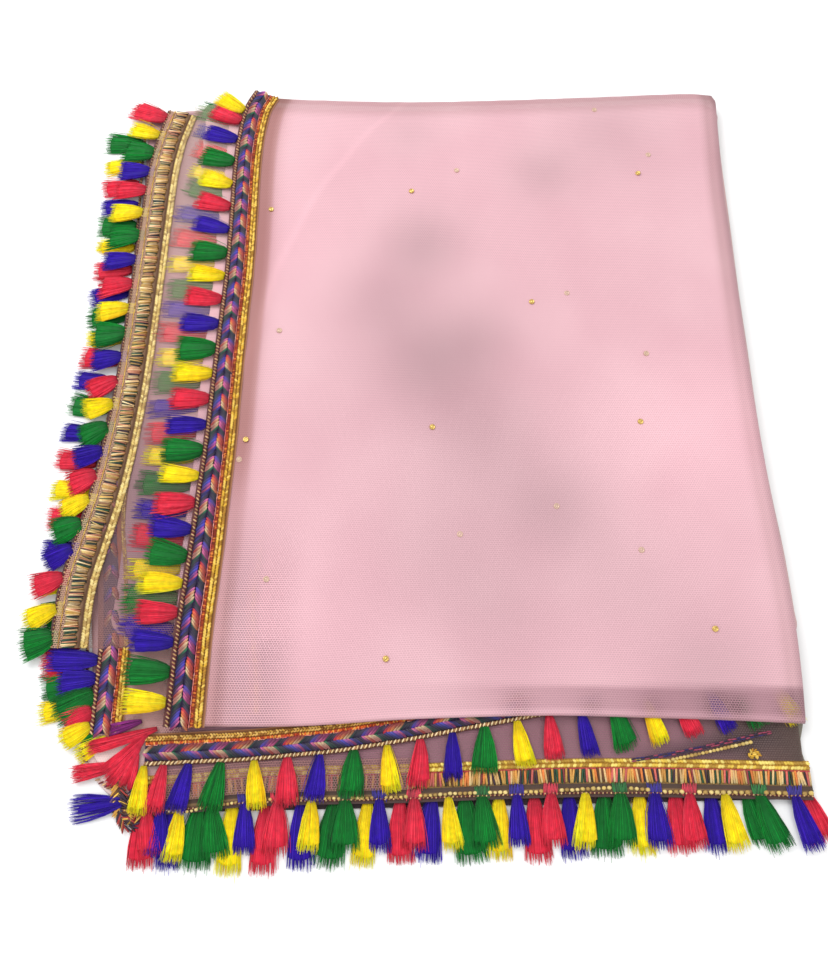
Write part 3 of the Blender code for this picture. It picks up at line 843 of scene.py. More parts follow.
def put_grid(name, points, material, tints):
    """A surface through a grid of points, with its own distances in metres as its map."""
    rows, columns = points.shape[:2]
    across, along = running_length(points[rows // 2]), running_length(points[:, columns // 2])
    uv = np.stack(np.meshgrid(across, along), axis=-1).reshape(-1, 2) * MM
    corners = grid_faces(rows, columns).ravel()
    starts = np.arange(0, len(corners), 4)
    tints = tints.reshape(-1, tints.shape[-1])
    return put_mesh(name, points.reshape(-1, 3), corners, starts, material, tints, uv[corners])


def put_tubes(name, points, material, tints, first_end=True):
    """Equal tubes as one mesh, from points by tube, ring and side, closed at their ends."""
    tubes, rings, sides = points.shape[:3]
    faces = grid_faces(rings, sides, wrap=True)
    ends = [np.arange(sides)[::-1]] * first_end + [np.arange(sides) + (rings - 1) * sides]
    one = np.concatenate([faces.ravel(), *ends])
    first = np.cumsum([0] + [4] * len(faces) + [sides] * (len(ends) - 1))
    offset = np.arange(tubes)[:, None]
    corners = (one + offset * rings * sides).ravel()
    starts = (first + offset * len(one)).ravel()
    return put_mesh(name, points.reshape(-1, 3), corners, starts, material, tints)


def finish_piece(piece, slot, *nodes):
    """A finished piece moves with the stole and stands for its solids; its slot is not used."""
    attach(piece, "root")
    if nodes:
        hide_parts(*nodes)
    return piece


# ---- small shapes that repeat, each modelled once ------------------------------------------------
def start_shape(segments, rings):
    """A new ball in edit mode with its poles along x, one unit across, ready to be shaped."""
    bpy.ops.object.select_all(action="DESELECT")
    bpy.ops.mesh.primitive_uv_sphere_add(segments=segments, ring_count=rings, radius=0.5)
    bpy.ops.object.mode_set(mode="EDIT")
    bpy.ops.mesh.select_all(action="SELECT")
    bpy.ops.transform.rotate(value=math.radians(90), orient_axis="Y", center_override=(0, 0, 0))


def pinch_ends(reach, factor):
    """Draw in what lies further out than a share of the length, at both ends."""
    bpy.ops.mesh.select_all(action="DESELECT")
    bpy.ops.object.mode_set(mode="OBJECT")
    mesh = bpy.context.object.data
    for vertex in mesh.vertices:
        vertex.select = abs(vertex.co.x) > reach
    bpy.ops.object.mode_set(mode="EDIT")
    bpy.ops.transform.resize(value=(1.0, factor, factor), center_override=(0, 0, 0))


def take_shape():
    """Read the shape that is being modelled as arrays, and remove its object."""
    bpy.ops.object.mode_set(mode="OBJECT")
    thing = bpy.context.object
    mesh = thing.data
    points = np.empty(len(mesh.vertices) * 3)
    mesh.vertices.foreach_get("co", points)
    corners = np.empty(len(mesh.loops), int)
    mesh.loops.foreach_get("vertex_index", corners)
    starts = np.empty(len(mesh.polygons), int)
    mesh.polygons.foreach_get("loop_start", starts)
    uv = np.empty(len(mesh.loops) * 2)
    mesh.uv_layers.active.data.foreach_get("uv", uv)
    bpy.data.objects.remove(thing)
    bpy.data.meshes.remove(mesh)
    return points.reshape(-1, 3), corners, starts, uv.reshape(-1, 2)


def model_thread_bundle():
    """A plump bundle of embroidery thread with drawn-in ends."""
    start_shape(8, 7)
    pinch_ends(0.36, 0.82)
    return take_shape()


def model_rib():
    """A straight bar of wound thread with blunt ends."""
    start_shape(8, 7)
    pinch_ends(0.40, 1.7)
    pinch_ends(0.25, 1.18)
    return take_shape()


def model_ball(segments, rings):
    """One small stitch or bead, rounder and with fewer faces."""
    start_shape(segments, rings)
    return take_shape()


def copy_tints(points, tints):
    """The tint of every point of every copy; a pair of tints runs from one end to the other."""
    if tints.ndim == 2:
        return np.repeat(tints, len(points), axis=0)
    share = smooth_step(-0.25, 0.52, points[:, 0])[None, :, None]
    return (tints[:, :1] * (1 - share) + tints[:, 1:] * share).reshape(-1, 3)


def lay_copies(name, shape, origins, long_axis, wide_axis, sizes, tints, material):
    """Copies of one shape as a joined mesh: each has its own place, turn, size and tint."""
    points, corners, starts, uv = shape
    up_axis = np.cross(long_axis, wide_axis)
    frames = np.stack([long_axis, wide_axis, up_axis], axis=1) * sizes[:, :, None]
    laid = origins[:, None, :] + np.einsum("vk,nkj->nvj", points, frames)
    count, vertices = len(origins), len(points)
    offset = np.arange(count)[:, None]
    all_corners = (corners[None, :] + offset * vertices).ravel()
    all_starts = (starts[None, :] + offset * len(corners)).ravel()
    all_tints = copy_tints(points, tints)
    all_uv = np.tile(uv, (count, 1))
    return put_mesh(name, laid.reshape(-1, 3), all_corners, all_starts, material, all_tints, all_uv)


def turned(along, outward, degrees):
    """The two flat axes of a border, turned so that the first leans towards the second."""
    angle = np.radians(degrees)[:, None]
    long_axis = along * np.cos(angle) + outward * np.sin(angle)
    wide_axis = outward * np.cos(angle) - along * np.sin(angle)
    return long_axis, wide_axis


def lay_along(name, shape, border, distance, places, lift, degrees, sizes, tints, material, across=False):
    """Copies of one shape along a border or across it, each turned by some degrees."""
    along, outward = border.axes(distance)
    if across:
        along, outward = outward, -along
    long_axis, wide_axis = turned(along, outward, degrees)
    origins = border.place(places, distance, lift)
    return lay_copies(name, SHAPES[shape], origins, long_axis, wide_axis, sizes, tints, MATERIALS[material])


def join_rows(rows):
    """Rows of arrays as one row, each array joined to those in its column."""
    return [np.concatenate(parts) for parts in zip(*rows)]


def vary(size, low, high, count, rng):
    """One size for every copy, each a little larger or smaller."""
    return np.array(size) * rng.uniform(low, high, (count, 1))


def pick(colours, order, rng, spread=0.12):
    """Colours read in an order from a table, each a little lighter or darker."""
    table = np.array(colours)
    shade = 1.0 + rng.uniform(-spread, spread, (len(order), 1))
    return np.clip(table[order % len(table)] * shade, 0.0, 1.0)


VEILED = np.array((0.34, 0.20, 0.19))


def mute(tints, share):
    """Colours as they look from under net, drawn towards one dull shade."""
    return tints * (1.0 - share) + VEILED * share


# ---- materials -----------------------------------------------------------------------------------
def new_material(name):
    """A material, its tree and shader, and the outputs for coordinates."""
    material = bpy.data.materials.new(name)
    material.use_nodes = True
    tree = material.node_tree
    coordinates = node(tree, "ShaderNodeTexCoord", {})
    return material, tree, tree.nodes["Principled BSDF"], coordinates["Object"], coordinates["UV"]


def read_tint(tree):
    return node(tree, "ShaderNodeAttribute", {}, attribute_name="tint")


def node(tree, kind, inputs, **settings):
    """A new node with its settings, and a value or a link for each input by name or number."""
    made = tree.nodes.new(kind)
    for key, value in settings.items():
        setattr(made, key, value)
    for key, value in inputs.items():
        if isinstance(value, bpy.types.NodeSocket):
            tree.links.new(value, made.inputs[key])
        else:
            made.inputs[key].default_value = value
    return made.outputs


def noise(tree, scale, vector, detail=3.0):
    return node(tree, "ShaderNodeTexNoise", {"Scale": scale, "Detail": detail, "Vector": vector})["Fac"]


def remap(tree, value, low, high, to_low, to_high):
    """A value moved from one span of values to another."""
    ends = {"From Min": low, "From Max": high, "To Min": to_low, "To Max": to_high}
    return node(tree, "ShaderNodeMapRange", {"Value": value, **ends})["Result"]


def multiply_add(tree, value, factor, added):
    return node(tree, "ShaderNodeMath", {0: value, 1: factor, 2: added}, operation="MULTIPLY_ADD")["Value"]


def shade_by(tree, colour, factor):
    """A colour made lighter or darker by a grey value."""
    return node(tree, "ShaderNodeVectorMath", {0: colour, "Scale": factor}, operation="SCALE")["Vector"]


def mix_colours(tree, factor, first, second):
    """From one colour to another by a grey value."""
    inputs = {"A": (*first, 1.0), "B": (*second, 1.0), "Factor": factor}
    return node(tree, "ShaderNodeMix", inputs, data_type="RGBA")["Result"]


def add_bump(tree, shader, height, strength, distance):
    inputs = {"Strength": strength, "Distance": distance, "Height": height}
    tree.links.new(node(tree, "ShaderNodeBump", inputs)["Normal"], shader.inputs["Normal"])


def wave_bands(tree, uv, scale, distortion, direction):
    inputs = {"Scale": scale, "Distortion": distortion, "Vector": uv}
    return node(tree, "ShaderNodeTexWave", inputs, bands_direction=direction)["Fac"]


def thread_material(
    name, roughness, metallic=0.0, sheen=0.0, ply=9.0, relief=0.12, direction="Y", contrast=(0.72, 1.16)
):
    """Dyed or metal thread: the tint of each piece, broken up by its plies and a fine noise."""
    material, tree, shader, place, uv = new_material(name)
    plies = wave_bands(tree, uv, ply, 1.5, direction)
    both = multiply_add(tree, plies, 0.5, noise(tree, 900.0, place))
    shade = remap(tree, both, 0.3, 1.1, *contrast)
    tree.links.new(shade_by(tree, read_tint(tree)["Color"], shade), shader.inputs["Base Color"])
    shader.inputs["Roughness"].default_value = roughness
    shader.inputs["Metallic"].default_value = metallic
    shader.inputs["Sheen Weight"].default_value = sheen
    add_bump(tree, shader, both, 0.5, relief * MM)
    return material


def strand_material(name):
    """Soft tassel thread, with the tint of each strand."""
    material, tree, shader, place, _ = new_material(name)
    shade = remap(tree, noise(tree, 260.0, place, detail=2.0), 0.3, 0.7, 0.86, 1.12)
    tree.links.new(shade_by(tree, read_tint(tree)["Color"], shade), shader.inputs["Base Color"])
    shader.inputs["Roughness"].default_value = 0.6
    shader.inputs["Sheen Weight"].default_value = 0.06
    shader.inputs["Specular IOR Level"].default_value = 0.16
    return material


BLACK, WHITE = (0.0, 0.0, 0.0, 1.0), (1.0, 1.0, 1.0, 1.0)


def net_pattern(tree, cloth, coordinates, share=1.0):
    """How much thread covers each spot of the net: rows of holes, every second one half across."""
    inputs = {
        "Color1": BLACK,
        "Color2": BLACK,
        "Mortar": WHITE,
        "Scale": 1.0,
        "Brick Width": cloth.mesh_width,
        "Row Height": cloth.mesh_height,
        "Mortar Size": cloth.thread / 2 * share,
        "Mortar Smooth": 0.25,
        "Vector": coordinates,
    }
    return node(tree, "ShaderNodeTexBrick", inputs, offset=0.5)["Fac"]


NET_SHADE = (0.93, 0.88, 0.90)


def net_material(name, cloth, colour=None, thread_share=1.0):
    """See-through net. The tint of a point colours it, and its alpha is the light a hole stops."""
    material, tree, shader, place, uv = new_material(name)
    tint = read_tint(tree)
    thread = net_pattern(tree, cloth, uv, thread_share)
    soft = remap(tree, noise(tree, 9.0, place, detail=2.0), 0.35, 0.65, 0.0, 1.0)
    full = np.array(colour or cloth.net_colour)
    base = mix_colours(tree, soft, full * NET_SHADE, full)
    tinted = node(tree, "ShaderNodeVectorMath", {0: base, 1: tint["Color"]}, operation="MULTIPLY")["Vector"]
    hollow = remap(tree, thread, 0.0, 1.0, 0.84, 1.05)
    tree.links.new(shade_by(tree, tinted, hollow), shader.inputs["Base Color"])
    shader.inputs["Roughness"].default_value = 0.62
    shader.inputs["Sheen Weight"].default_value = 0.15
    cover = remap(tree, thread, 0.0, 1.0, tint["Alpha"], 0.96)
    tree.links.new(cover, shader.inputs["Alpha"])
    add_bump(tree, shader, thread, 0.35, 0.2 * MM)
    return material


def layered_net_material(name, cloth):
    """The closed stack of inner layers: net over net, with soft blotches of painted shade where folds lie
    below.
    """
    material, tree, shader, place, _ = new_material(name)
    thread = net_pattern(tree, cloth, place)
    # random blotches of painted shade
    blotches = remap(tree, noise(tree, 6.5, place), 0.3, 0.7, 0.74, 1.0)
    depth = multiply_add(tree, thread, 0.14, blotches)
    tree.links.new(shade_by(tree, read_tint(tree)["Color"], depth), shader.inputs["Base Color"])
    shader.inputs["Roughness"].default_value = 0.8
    add_bump(tree, shader, thread, 0.3, 0.2 * MM)
    return material


def ground_material(name):
    """Woven backing of a border, with a fine crosswise grain."""
    material, tree, shader, _, uv = new_material(name)
    weave = wave_bands(tree, uv, 420.0, 2.0, "Y")
    shade = remap(tree, weave, 0.0, 1.0, 0.7, 1.2)
    tree.links.new(shade_by(tree, read_tint(tree)["Color"], shade), shader.inputs["Base Color"])
    shader.inputs["Roughness"].default_value = 0.75
    add_bump(tree, shader, weave, 0.6, 0.25 * MM)
    return material


def stud_material(name, worn, bright, metallic):
    material, tree, shader, place, _ = new_material(name)
    wear = remap(tree, noise(tree, 1400.0, place), 0.35, 0.6, 0.0, 1.0)
    tree.links.new(mix_colours(tree, wear, worn, bright), shader.inputs["Base Color"])
    shader.inputs["Metallic"].default_value = metallic
    shader.inputs["Roughness"].default_value = 0.3
    return material


def floor_material(name):
    material, tree, shader, place, _ = new_material(name)
    base = mix_colours(tree, noise(tree, 2.0, place), (0.90, 0.90, 0.90), (0.92, 0.92, 0.92))
    tree.links.new(base, shader.inputs["Base Color"])
    shader.inputs["Roughness"].default_value = 0.9
    return material


# ---- the folded layers ---------------------------------------------------------------------------
def left_edge(layer_left, y):
    if layer_left is not None:
        return np.full(np.shape(y), layer_left)
    return interpolate([(row_y, x) for x, row_y in BORDER_LEFT_LOWEST], y) - LOWEST_REACH


def near_edge(layer_near, x):
    if layer_near is not None:
        return np.full(np.shape(x), layer_near)
    return interpolate(sorted(BORDER_END_LOWEST), x) - LOWEST_REACH


def layer_outline(layer, inset, height):
    """Points round one folded layer, anticlockwise from above, with rounded corners."""
    _, top, left, right, near, far, near_left_radius = layer

    def right_x(y):
        return interpolate(RIGHT_EDGE, y) - right - inset

    def far_y(x):
        return interpolate(FAR_EDGE, x) - far - inset

    def left_x(y):
        return left_edge(left, y) + inset

    def near_y(x):
        return near_edge(near, x) + inset

    near_right, low_left, high_left = near_y(CORNER_X), left_x(0.0), left_x(CORNER_Y)
    corners = (
        # x, y, side to side, near to far, start angle, radius
        (right_x(near_right), near_right, -1, 1, -90.0, CORNER_RADIUS),
        (right_x(CORNER_Y), far_y(CORNER_X), -1, -1, 0.0, CORNER_RADIUS),
        (high_left, far_y(high_left), 1, -1, 90.0, CORNER_RADIUS),
        (low_left, near_y(low_left), 1, 1, 180.0, near_left_radius),
    )
    arcs = []
    for x, y, side_x, side_y, start, radius in corners:
        angle = np.radians(start + np.linspace(0.0, 90.0, CORNER_STEPS + 1))
        turn = np.stack([side_x + np.cos(angle), side_y + np.sin(angle)], axis=1)
        arcs.append(np.array((x, y)) + turn * radius)
    wave_share = 0.0 if left is None else 1.0
    sides = (
        # axis that follows the edge, the edge: right, far, left, near
        (0, lambda side, wave: right_x(side[:, 1]) - 0.4 * wave),
        (1, lambda side, wave: far_y(side[:, 0])),
        (0, lambda side, wave: left_x(side[:, 1]) + wave_share * wave),
        (1, lambda side, wave: near_y(side[:, 0])),
    )
    outline = []
    share = np.arange(1, SIDE_STEPS) / SIDE_STEPS
    for index, (axis, edge) in enumerate(sides):
        start, finish = arcs[index][-1], arcs[(index + 1) % 4][0]
        side = start + (finish - start) * share[:, None]
        wave = LIP_WAVE * (1 + np.sin(LIP_TURNS * share + 0.9 * top + index))
        side[:, axis] = edge(side, wave)
        outline += [arcs[index], side]
    outline = np.concatenate(outline)
    return np.column_stack([outline, np.full(len(outline), height)])


LAYER_PAINTED_SHADE = (
    # colour of each layer, from the lowest up: the net's pink with painted shade under the layers above
    (0.50, 0.28, 0.31),
    (0.56, 0.36, 0.36),
    (0.42, 0.24, 0.26),
    (0.66, 0.40, 0.42),
    (0.84, 0.50, 0.56),
)
CORNER_TINT = (0.86, 0.66, 0.62)
RIGHT_LIP_PAINTED_SHADE = (
    # colour of each layer's lip on the right, with painted shade, darkest on the two lowest lips
    (0.17, 0.15, 0.11),
    (0.20, 0.18, 0.14),
    (0.66, 0.57, 0.44),
    (0.62, 0.40, 0.40),
    (0.74, 0.46, 0.50),
)


def make_inner_layers(cloth):
    """Each layer is a closed flat pad with a rounded lip; together they are one piece."""
    layers, tints = [], []
    for layer, tint, lip_shade in zip(HIDDEN_LAYERS, LAYER_PAINTED_SHADE, RIGHT_LIP_PAINTED_SHADE):
        bottom, top = layer[:2]
        rings = [layer_outline(layer, inset, bottom + (top - bottom) * at) for at, inset in LIP_SECTION]
        layers.append(rings)
        x, y = np.split(np.concatenate(rings)[:, :2], 2, axis=1)
        on_right = smooth_step(196.0, 205.0, x)
        on_corner = smooth_step(-256.0, -266.0, x) * smooth_step(6.0, -4.0, y)
        # painted shade on each layer, and on its lip on the right
        colours = np.array(tint) * (1 - on_right) + np.array(lip_shade) * on_right
        tints.append(colours * (1 - on_corner) + np.array(CORNER_TINT) * on_corner)
    material = layered_net_material("layered net", cloth)
    return put_tubes("inner_layers", np.array(layers), material, np.concatenate(tints))


# ---- the net panels ------------------------------------------------------------------------------
def edge_steps(low, high, count, rolled_low=False, rolled_high=False):
    """Even steps between two edges, and the turns in radians of a rolled fold past either."""
    places = np.linspace(low + FOLD_RADIUS * rolled_low, high - FOLD_RADIUS * rolled_high, count)
    angles = np.zeros(count)
    turns = np.radians([22, 45, 68, 90, 115, 140, 165])
    if rolled_high:
        places = np.concatenate([places, np.full(len(turns), places[-1])])
        angles = np.concatenate([angles, turns])
    if rolled_low:
        places = np.concatenate([np.full(len(turns), places[0]), places])
        angles = np.concatenate([-turns[::-1], angles])
    return places, angles


def fine_ripple(x, y):
    """Small unevenness of soft net that no pressing takes out."""
    ripple = 0.10 * np.sin(0.19 * x + 2.0 * np.sin(0.021 * y))
    ripple += 0.09 * np.sin(0.14 * y + 1.6 * np.sin(0.017 * x + 1.0))
    return ripple + 0.07 * np.sin(0.31 * (x + 0.6 * y) + 1.3 * np.sin(0.03 * x))


def soft_spots(x, y, spots):
    """Sum of soft round spots, each with its own place, radius and strength."""
    total = np.zeros(np.broadcast(x, y).shape)
    for spot_x, spot_y, radius, strength in spots:
        total += strength * np.exp(-((x - spot_x) ** 2 + (y - spot_y) ** 2) / radius**2)
    return total


def towards(tint, colour, share):
    """Multiply a tint by a colour, by a share of the full effect."""
    return tint * (1.0 + share[..., None] * (np.array(colour) - 1.0))


STREAK = (
    # y, x of a narrow fold edge that shows through the top net as a light line
    (240.0, -212.0),
    (268.0, -207.0),
    (320.0, -195.0),
    (376.0, -183.0),
    (420.0, -167.0),
    (458.0, -151.0),
    (491.0, -130.0),
    (525.0, -109.0),
    (560.0, -76.0),
)
STREAK_WIDTH, STREAK_HEIGHT, STREAK_LIGHT = 3.4, 0.55, 0.07
TOP_WIDTH, TOP_DEPTH, TOP_COLUMNS, TOP_ROWS = 440.0, 562.0, 112, 142
TOP_UNDER_BORDER, TOP_PAST_FAR = 18.6, 2.0
TOP_VEIL, SECOND_VEIL, END_VEIL = 0.93, 0.03, 0.45
TOP_NET_PAINTED_SHADE_SPOTS = (
    # x, y, radius, strength: painted shade over folds underneath, and painted light where the strength is
    # positive
    (-60.0, 402.0, 36.0, -0.24),
    (-95.0, 345.0, 38.0, -0.16),
    (-55.0, 288.0, 42.0, -0.22),
    (-10.0, 310.0, 34.0, -0.14),
    (-10.0, 222.0, 52.0, -0.18),
    (-60.0, 290.0, 110.0, -0.10),
    (165.0, 230.0, 62.0, 0.13),
    (42.0, 160.0, 42.0, -0.22),
    (-42.0, 130.0, 55.0, -0.14),
    (92.0, 100.0, 48.0, -0.10),
    (0.0, 75.0, 46.0, -0.12),
    (150.0, 38.0, 42.0, -0.16),
    (46.0, 478.0, 32.0, -0.18),
    (-72.0, 522.0, 28.0, -0.10),
    (108.0, 524.0, 48.0, -0.14),
    (-165.0, 394.0, 55.0, 0.04),
    (-170.0, 70.0, 50.0, 0.08),
)
SHOWN_TASSELS = (
    # x, y, radius, strength: tassels of the border underneath that show near the fold
    (10.0, 14.0, 11.0, 0.6),
    (150.0, 15.0, 10.0, 1.0),
    (166.0, 14.0, 8.0, 0.9),
    (202.0, 15.0, 10.0, 1.0),
    (62.0, 14.0, 9.0, 0.5),
    (105.0, 14.0, 9.0, 0.5),
)


def top_net_tints(x, y, from_cord, to_right, to_near, to_far):
    """Colour and closeness of the top net, with painted shade, shadow and light: what lies under it shows
    near its edges.
    """
    tint = (1.0 + soft_spots(x, y, TOP_NET_PAINTED_SHADE_SPOTS))[..., None] * np.ones(3)
    upper = smooth_step(260.0, 420.0, y)
    # a wide and a narrow painted shadow beside the left cord
    tint = towards(tint, (0.82, 0.76, 0.74), smooth_step(28.0, 4.0, from_cord) * (0.6 + 0.4 * upper))
    shade = smooth_step(16.0, 8.0, from_cord) * (0.45 + 0.55 * smooth_step(150.0, 220.0, y))
    tint = towards(tint, (0.60, 0.46, 0.40), shade)
    # painted shade on the folds on the right and at the far side, where the net turns away
    tint = towards(tint, (0.74, 0.72, 0.70), smooth_step(17.0, 10.0, to_right) * (0.55 + 0.45 * upper))
    tint = towards(tint, (0.76, 0.74, 0.75), smooth_step(6.0, 1.0, to_right))
    tint = towards(tint, (0.71, 0.68, 0.66), smooth_step(24.0, 6.0, to_far))
    # the near band, darker over the hidden border and pale along its fold
    near_band = smooth_step(30.0, 25.0, y)
    tint = towards(tint, (0.60, 0.53, 0.56), near_band * smooth_step(-120.0, 140.0, x))
    tint = towards(tint, (1.0, 0.98, 0.97), near_band * smooth_step(-60.0, -120.0, x))
    tint = towards(tint, (1.30, 1.36, 1.34), smooth_step(3.2, 2.7, to_near) * smooth_step(-140.0, 60.0, x))
    low_left = smooth_step(-140.0, -172.0, x) * smooth_step(175.0, 90.0, y)
    shown = np.clip(soft_spots(x, y, SHOWN_TASSELS), 0.0, 1.0) * near_band
    veil = TOP_VEIL - 0.63 * shown - 0.42 * low_left * smooth_step(0.0, 8.0, from_cord)
    return np.concatenate([tint, veil[..., None]], axis=-1)


def roll_over(z, turn):
    """How high a point lies once it has turned by an angle round a fold."""
    return z - FOLD_RADIUS * (1 - np.cos(turn))


def make_net_top(cloth):
    """The top panel, rolled over at its near, far and right folds."""
    columns, turn_u = edge_steps(0.0, TOP_WIDTH, TOP_COLUMNS, rolled_high=True)
    rows, turn_v = edge_steps(0.0, TOP_DEPTH, TOP_ROWS, rolled_low=True, rolled_high=True)
    u, v, turn_v = columns[None, :] / TOP_WIDTH, rows[:, None] / TOP_DEPTH, turn_v[:, None]
    cord_x = interpolate([(y, x) for x, y in BORDER_TOP_LEFT], TOP_DEPTH * v)
    to_far = np.clip(TOP_DEPTH * (1 - v), 0.0, FAR_CORNER)
    rounding = FAR_CORNER - np.sqrt(FAR_CORNER**2 - (FAR_CORNER - to_far) ** 2)
    right = interpolate(TOP_RIGHT_EDGE, TOP_DEPTH * v) - rounding
    left = cord_x - TOP_UNDER_BORDER
    x = left + (right - left) * u
    near, far = interpolate(NEAR_EDGE, x), interpolate(FAR_EDGE, x) + TOP_PAST_FAR
    y = near + (far - near) * v
    tints = top_net_tints(x, y, x - cord_x - 2.0, right - x, y - near, far - y)
    streak = np.exp(-(((x - interpolate(STREAK, y)) / STREAK_WIDTH) ** 2)) * smooth_step(250.0, 300.0, y)
    z = main_height(x, y) + fine_ripple(x, y) + STREAK_HEIGHT * streak * smooth_step(558.0, 530.0, y)
    tints[..., :3] *= (1.0 + STREAK_LIGHT * streak)[..., None]
    x, y = x + FOLD_RADIUS * np.sin(turn_u), y + FOLD_RADIUS * np.sin(turn_v)
    z = np.maximum(roll_over(roll_over(z, turn_u), turn_v), TOP_LOWEST)
    piece = put_grid("net_top", np.stack([x, y, z], axis=-1), net_material("top net", cloth), tints)
    return finish_piece(piece, "net", "net_panel_top")


CORD_SHADE = (0.55, 0.48, 0.36)
SECOND_LEFT_STEPS, SECOND_OTHER_STEPS = 40, 60
SECOND_SHORT_OF_FAR, SECOND_UNDER_CORD, SECOND_SUNK = 5.0, 3.0, 0.35
SECOND_NET_SHADE_AND_LACE = (
    # y, red, green, blue between the borders: painted shadow, darkest from 90 to 180, and the colour of
    # folds and lace underneath
    (50.0, 0.56, 0.44, 0.34),
    (90.0, 0.40, 0.36, 0.32),
    (120.0, 0.22, 0.22, 0.22),
    (180.0, 0.28, 0.27, 0.28),
    (230.0, 0.56, 0.58, 0.50),
    (330.0, 0.88, 0.98, 0.80),
    (450.0, 0.90, 1.15, 0.88),
    (560.0, 0.90, 1.22, 0.88),
)


def make_net_second(cloth):
    """The second panel: its fold shows below the border on the left, the rest lies under the top."""
    rows, turns = edge_steps(SECOND_FOLD_Y, SECOND_FAR_Y, 128, rolled_low=True)
    share, turn = (rows[:, None] - SECOND_FOLD_Y) / (SECOND_FAR_Y - SECOND_FOLD_Y), turns[:, None]
    left_steps = np.linspace(0.0, 0.2, SECOND_LEFT_STEPS)
    u = np.concatenate([left_steps, np.linspace(0.22, 1.0, SECOND_OTHER_STEPS)])[None, :]
    far = interpolate(FAR_EDGE, -270.0 + (SECOND_RIGHT + 270.0) * u) - SECOND_SHORT_OF_FAR
    y = SECOND_FOLD_Y + (far - SECOND_FOLD_Y) * share
    left = interpolate([(row_y, x) for x, row_y in BORDER_SECOND_LEFT], y) - SECOND_UNDER_CORD
    x = left + (SECOND_RIGHT - left) * u
    open_part = smooth_step(-222.0, -240.0, x)
    z = second_height(x, y) + open_part * 1.6 * fine_ripple(x, y) - SECOND_SUNK
    # painted shadow between the borders, with the colour of the folds and lace under the net
    table = np.array(SECOND_NET_SHADE_AND_LACE)
    channels = [interpolate(table[:, (0, channel)], y) for channel in (1, 2, 3)]
    shown = smooth_step(-205.0, -222.0, x)[..., None]
    tint = np.stack(channels, axis=-1) * shown + (1 - shown)
    tint = towards(tint, CORD_SHADE, smooth_step(10.0, 4.0, x - left))
    tints = np.concatenate([tint, np.full((*x.shape, 1), SECOND_VEIL)], axis=-1)
    y = y + FOLD_RADIUS * np.sin(turn)
    z = np.maximum(roll_over(z, turn), SECOND_LOWEST)
    material = net_material("second net", cloth, thread_share=0.5)
    piece = put_grid("net_second", np.stack([x, y, z], axis=-1), material, tints)
    return finish_piece(piece, "net", "net_panel_second")


def make_flat_net(cloth, name, left, right, near, far, height, size, tinting, *nodes):
    """A lower panel of which only a part shows, lying flat."""
    x = np.linspace(left, right, size[0])[None, :]
    share = np.linspace(0.0, 1.0, size[1])[:, None]
    near_y, far_y = near(x), far(x)
    y = near_y + (far_y - near_y) * share
    x = x * np.ones_like(share)
    z = height + 0.8 * fine_ripple(x, y)
    material = net_material(name.replace("_", " "), cloth)
    piece = put_grid(name, np.stack([x, y, z], axis=-1), material, tinting(x, y))
    return finish_piece(piece, "net", *nodes)


def even_tint(colour, veil):
    return lambda x, y: np.tile((*colour, veil), (*x.shape, 1))


HIDDEN_LINE = (
    # x, y of a border that lies under the end net
    (90.0, -26.0),
    (118.0, -21.5),
    (140.0, -17.0),
    (160.0, -12.5),
    (190.0, -6.0),
)
HIDDEN_LINE_COLOURS = ((0.02, 0.01, 0.12), (0.35, 0.04, 0.10), (0.03, 0.01, 0.05))
HIDDEN_LINES = (
    # place across it, seed
    (3.0, 89),
    (4.4, 90),
)


def end_net_tints(x, y):
    """Mauve in the shade of the fold above it, dark over the hidden border, olive on the right."""
    tint = np.tile((0.36, 0.26, 0.31), (*x.shape, 1))
    tint = towards(tint, (0.26, 0.26, 0.17), smooth_step(120.0, 180.0, x))
    over = np.abs(y - interpolate(HIDDEN_LINE, x) - 2.0)
    dark = smooth_step(14.0, 4.0, over) * smooth_step(70.0, 120.0, x) * smooth_step(206.0, 186.0, x)
    tint = towards(tint, (0.42, 0.34, 0.42), dark)
    return np.concatenate([tint, np.full((*x.shape, 1), END_VEIL)], axis=-1)


def beside_end(offset):
    """A line beside the inner edge of the lower end border."""
    return lambda x: interpolate(sorted(BORDER_END_LOWER), x) + offset


FLAT_NETS = (
    # name, left, right, near edge, far edge, height, points each way, tints, what it stands for;
    # the flap is a fold of the end panel that lies over the left half of its own border
    (
        "net_third", -290.0, -228.0, level(-9.0), level(52.0), 5.2, (18, 18),
        even_tint((0.8, 0.72, 0.6), 0.30), "net_panel_third",
    ),
    (
        "net_end", -239.5, 209.0, beside_end(0.0), level(56.0), 5.1, (110, 22),
        end_net_tints, "net_panel_end",
    ),
    (
        "net_flap", -238.0, -64.0, beside_end(-17.0), beside_end(4.0), 6.3, (60, 10),
        even_tint((0.42, 0.34, 0.28), 0.16),
    ),
)


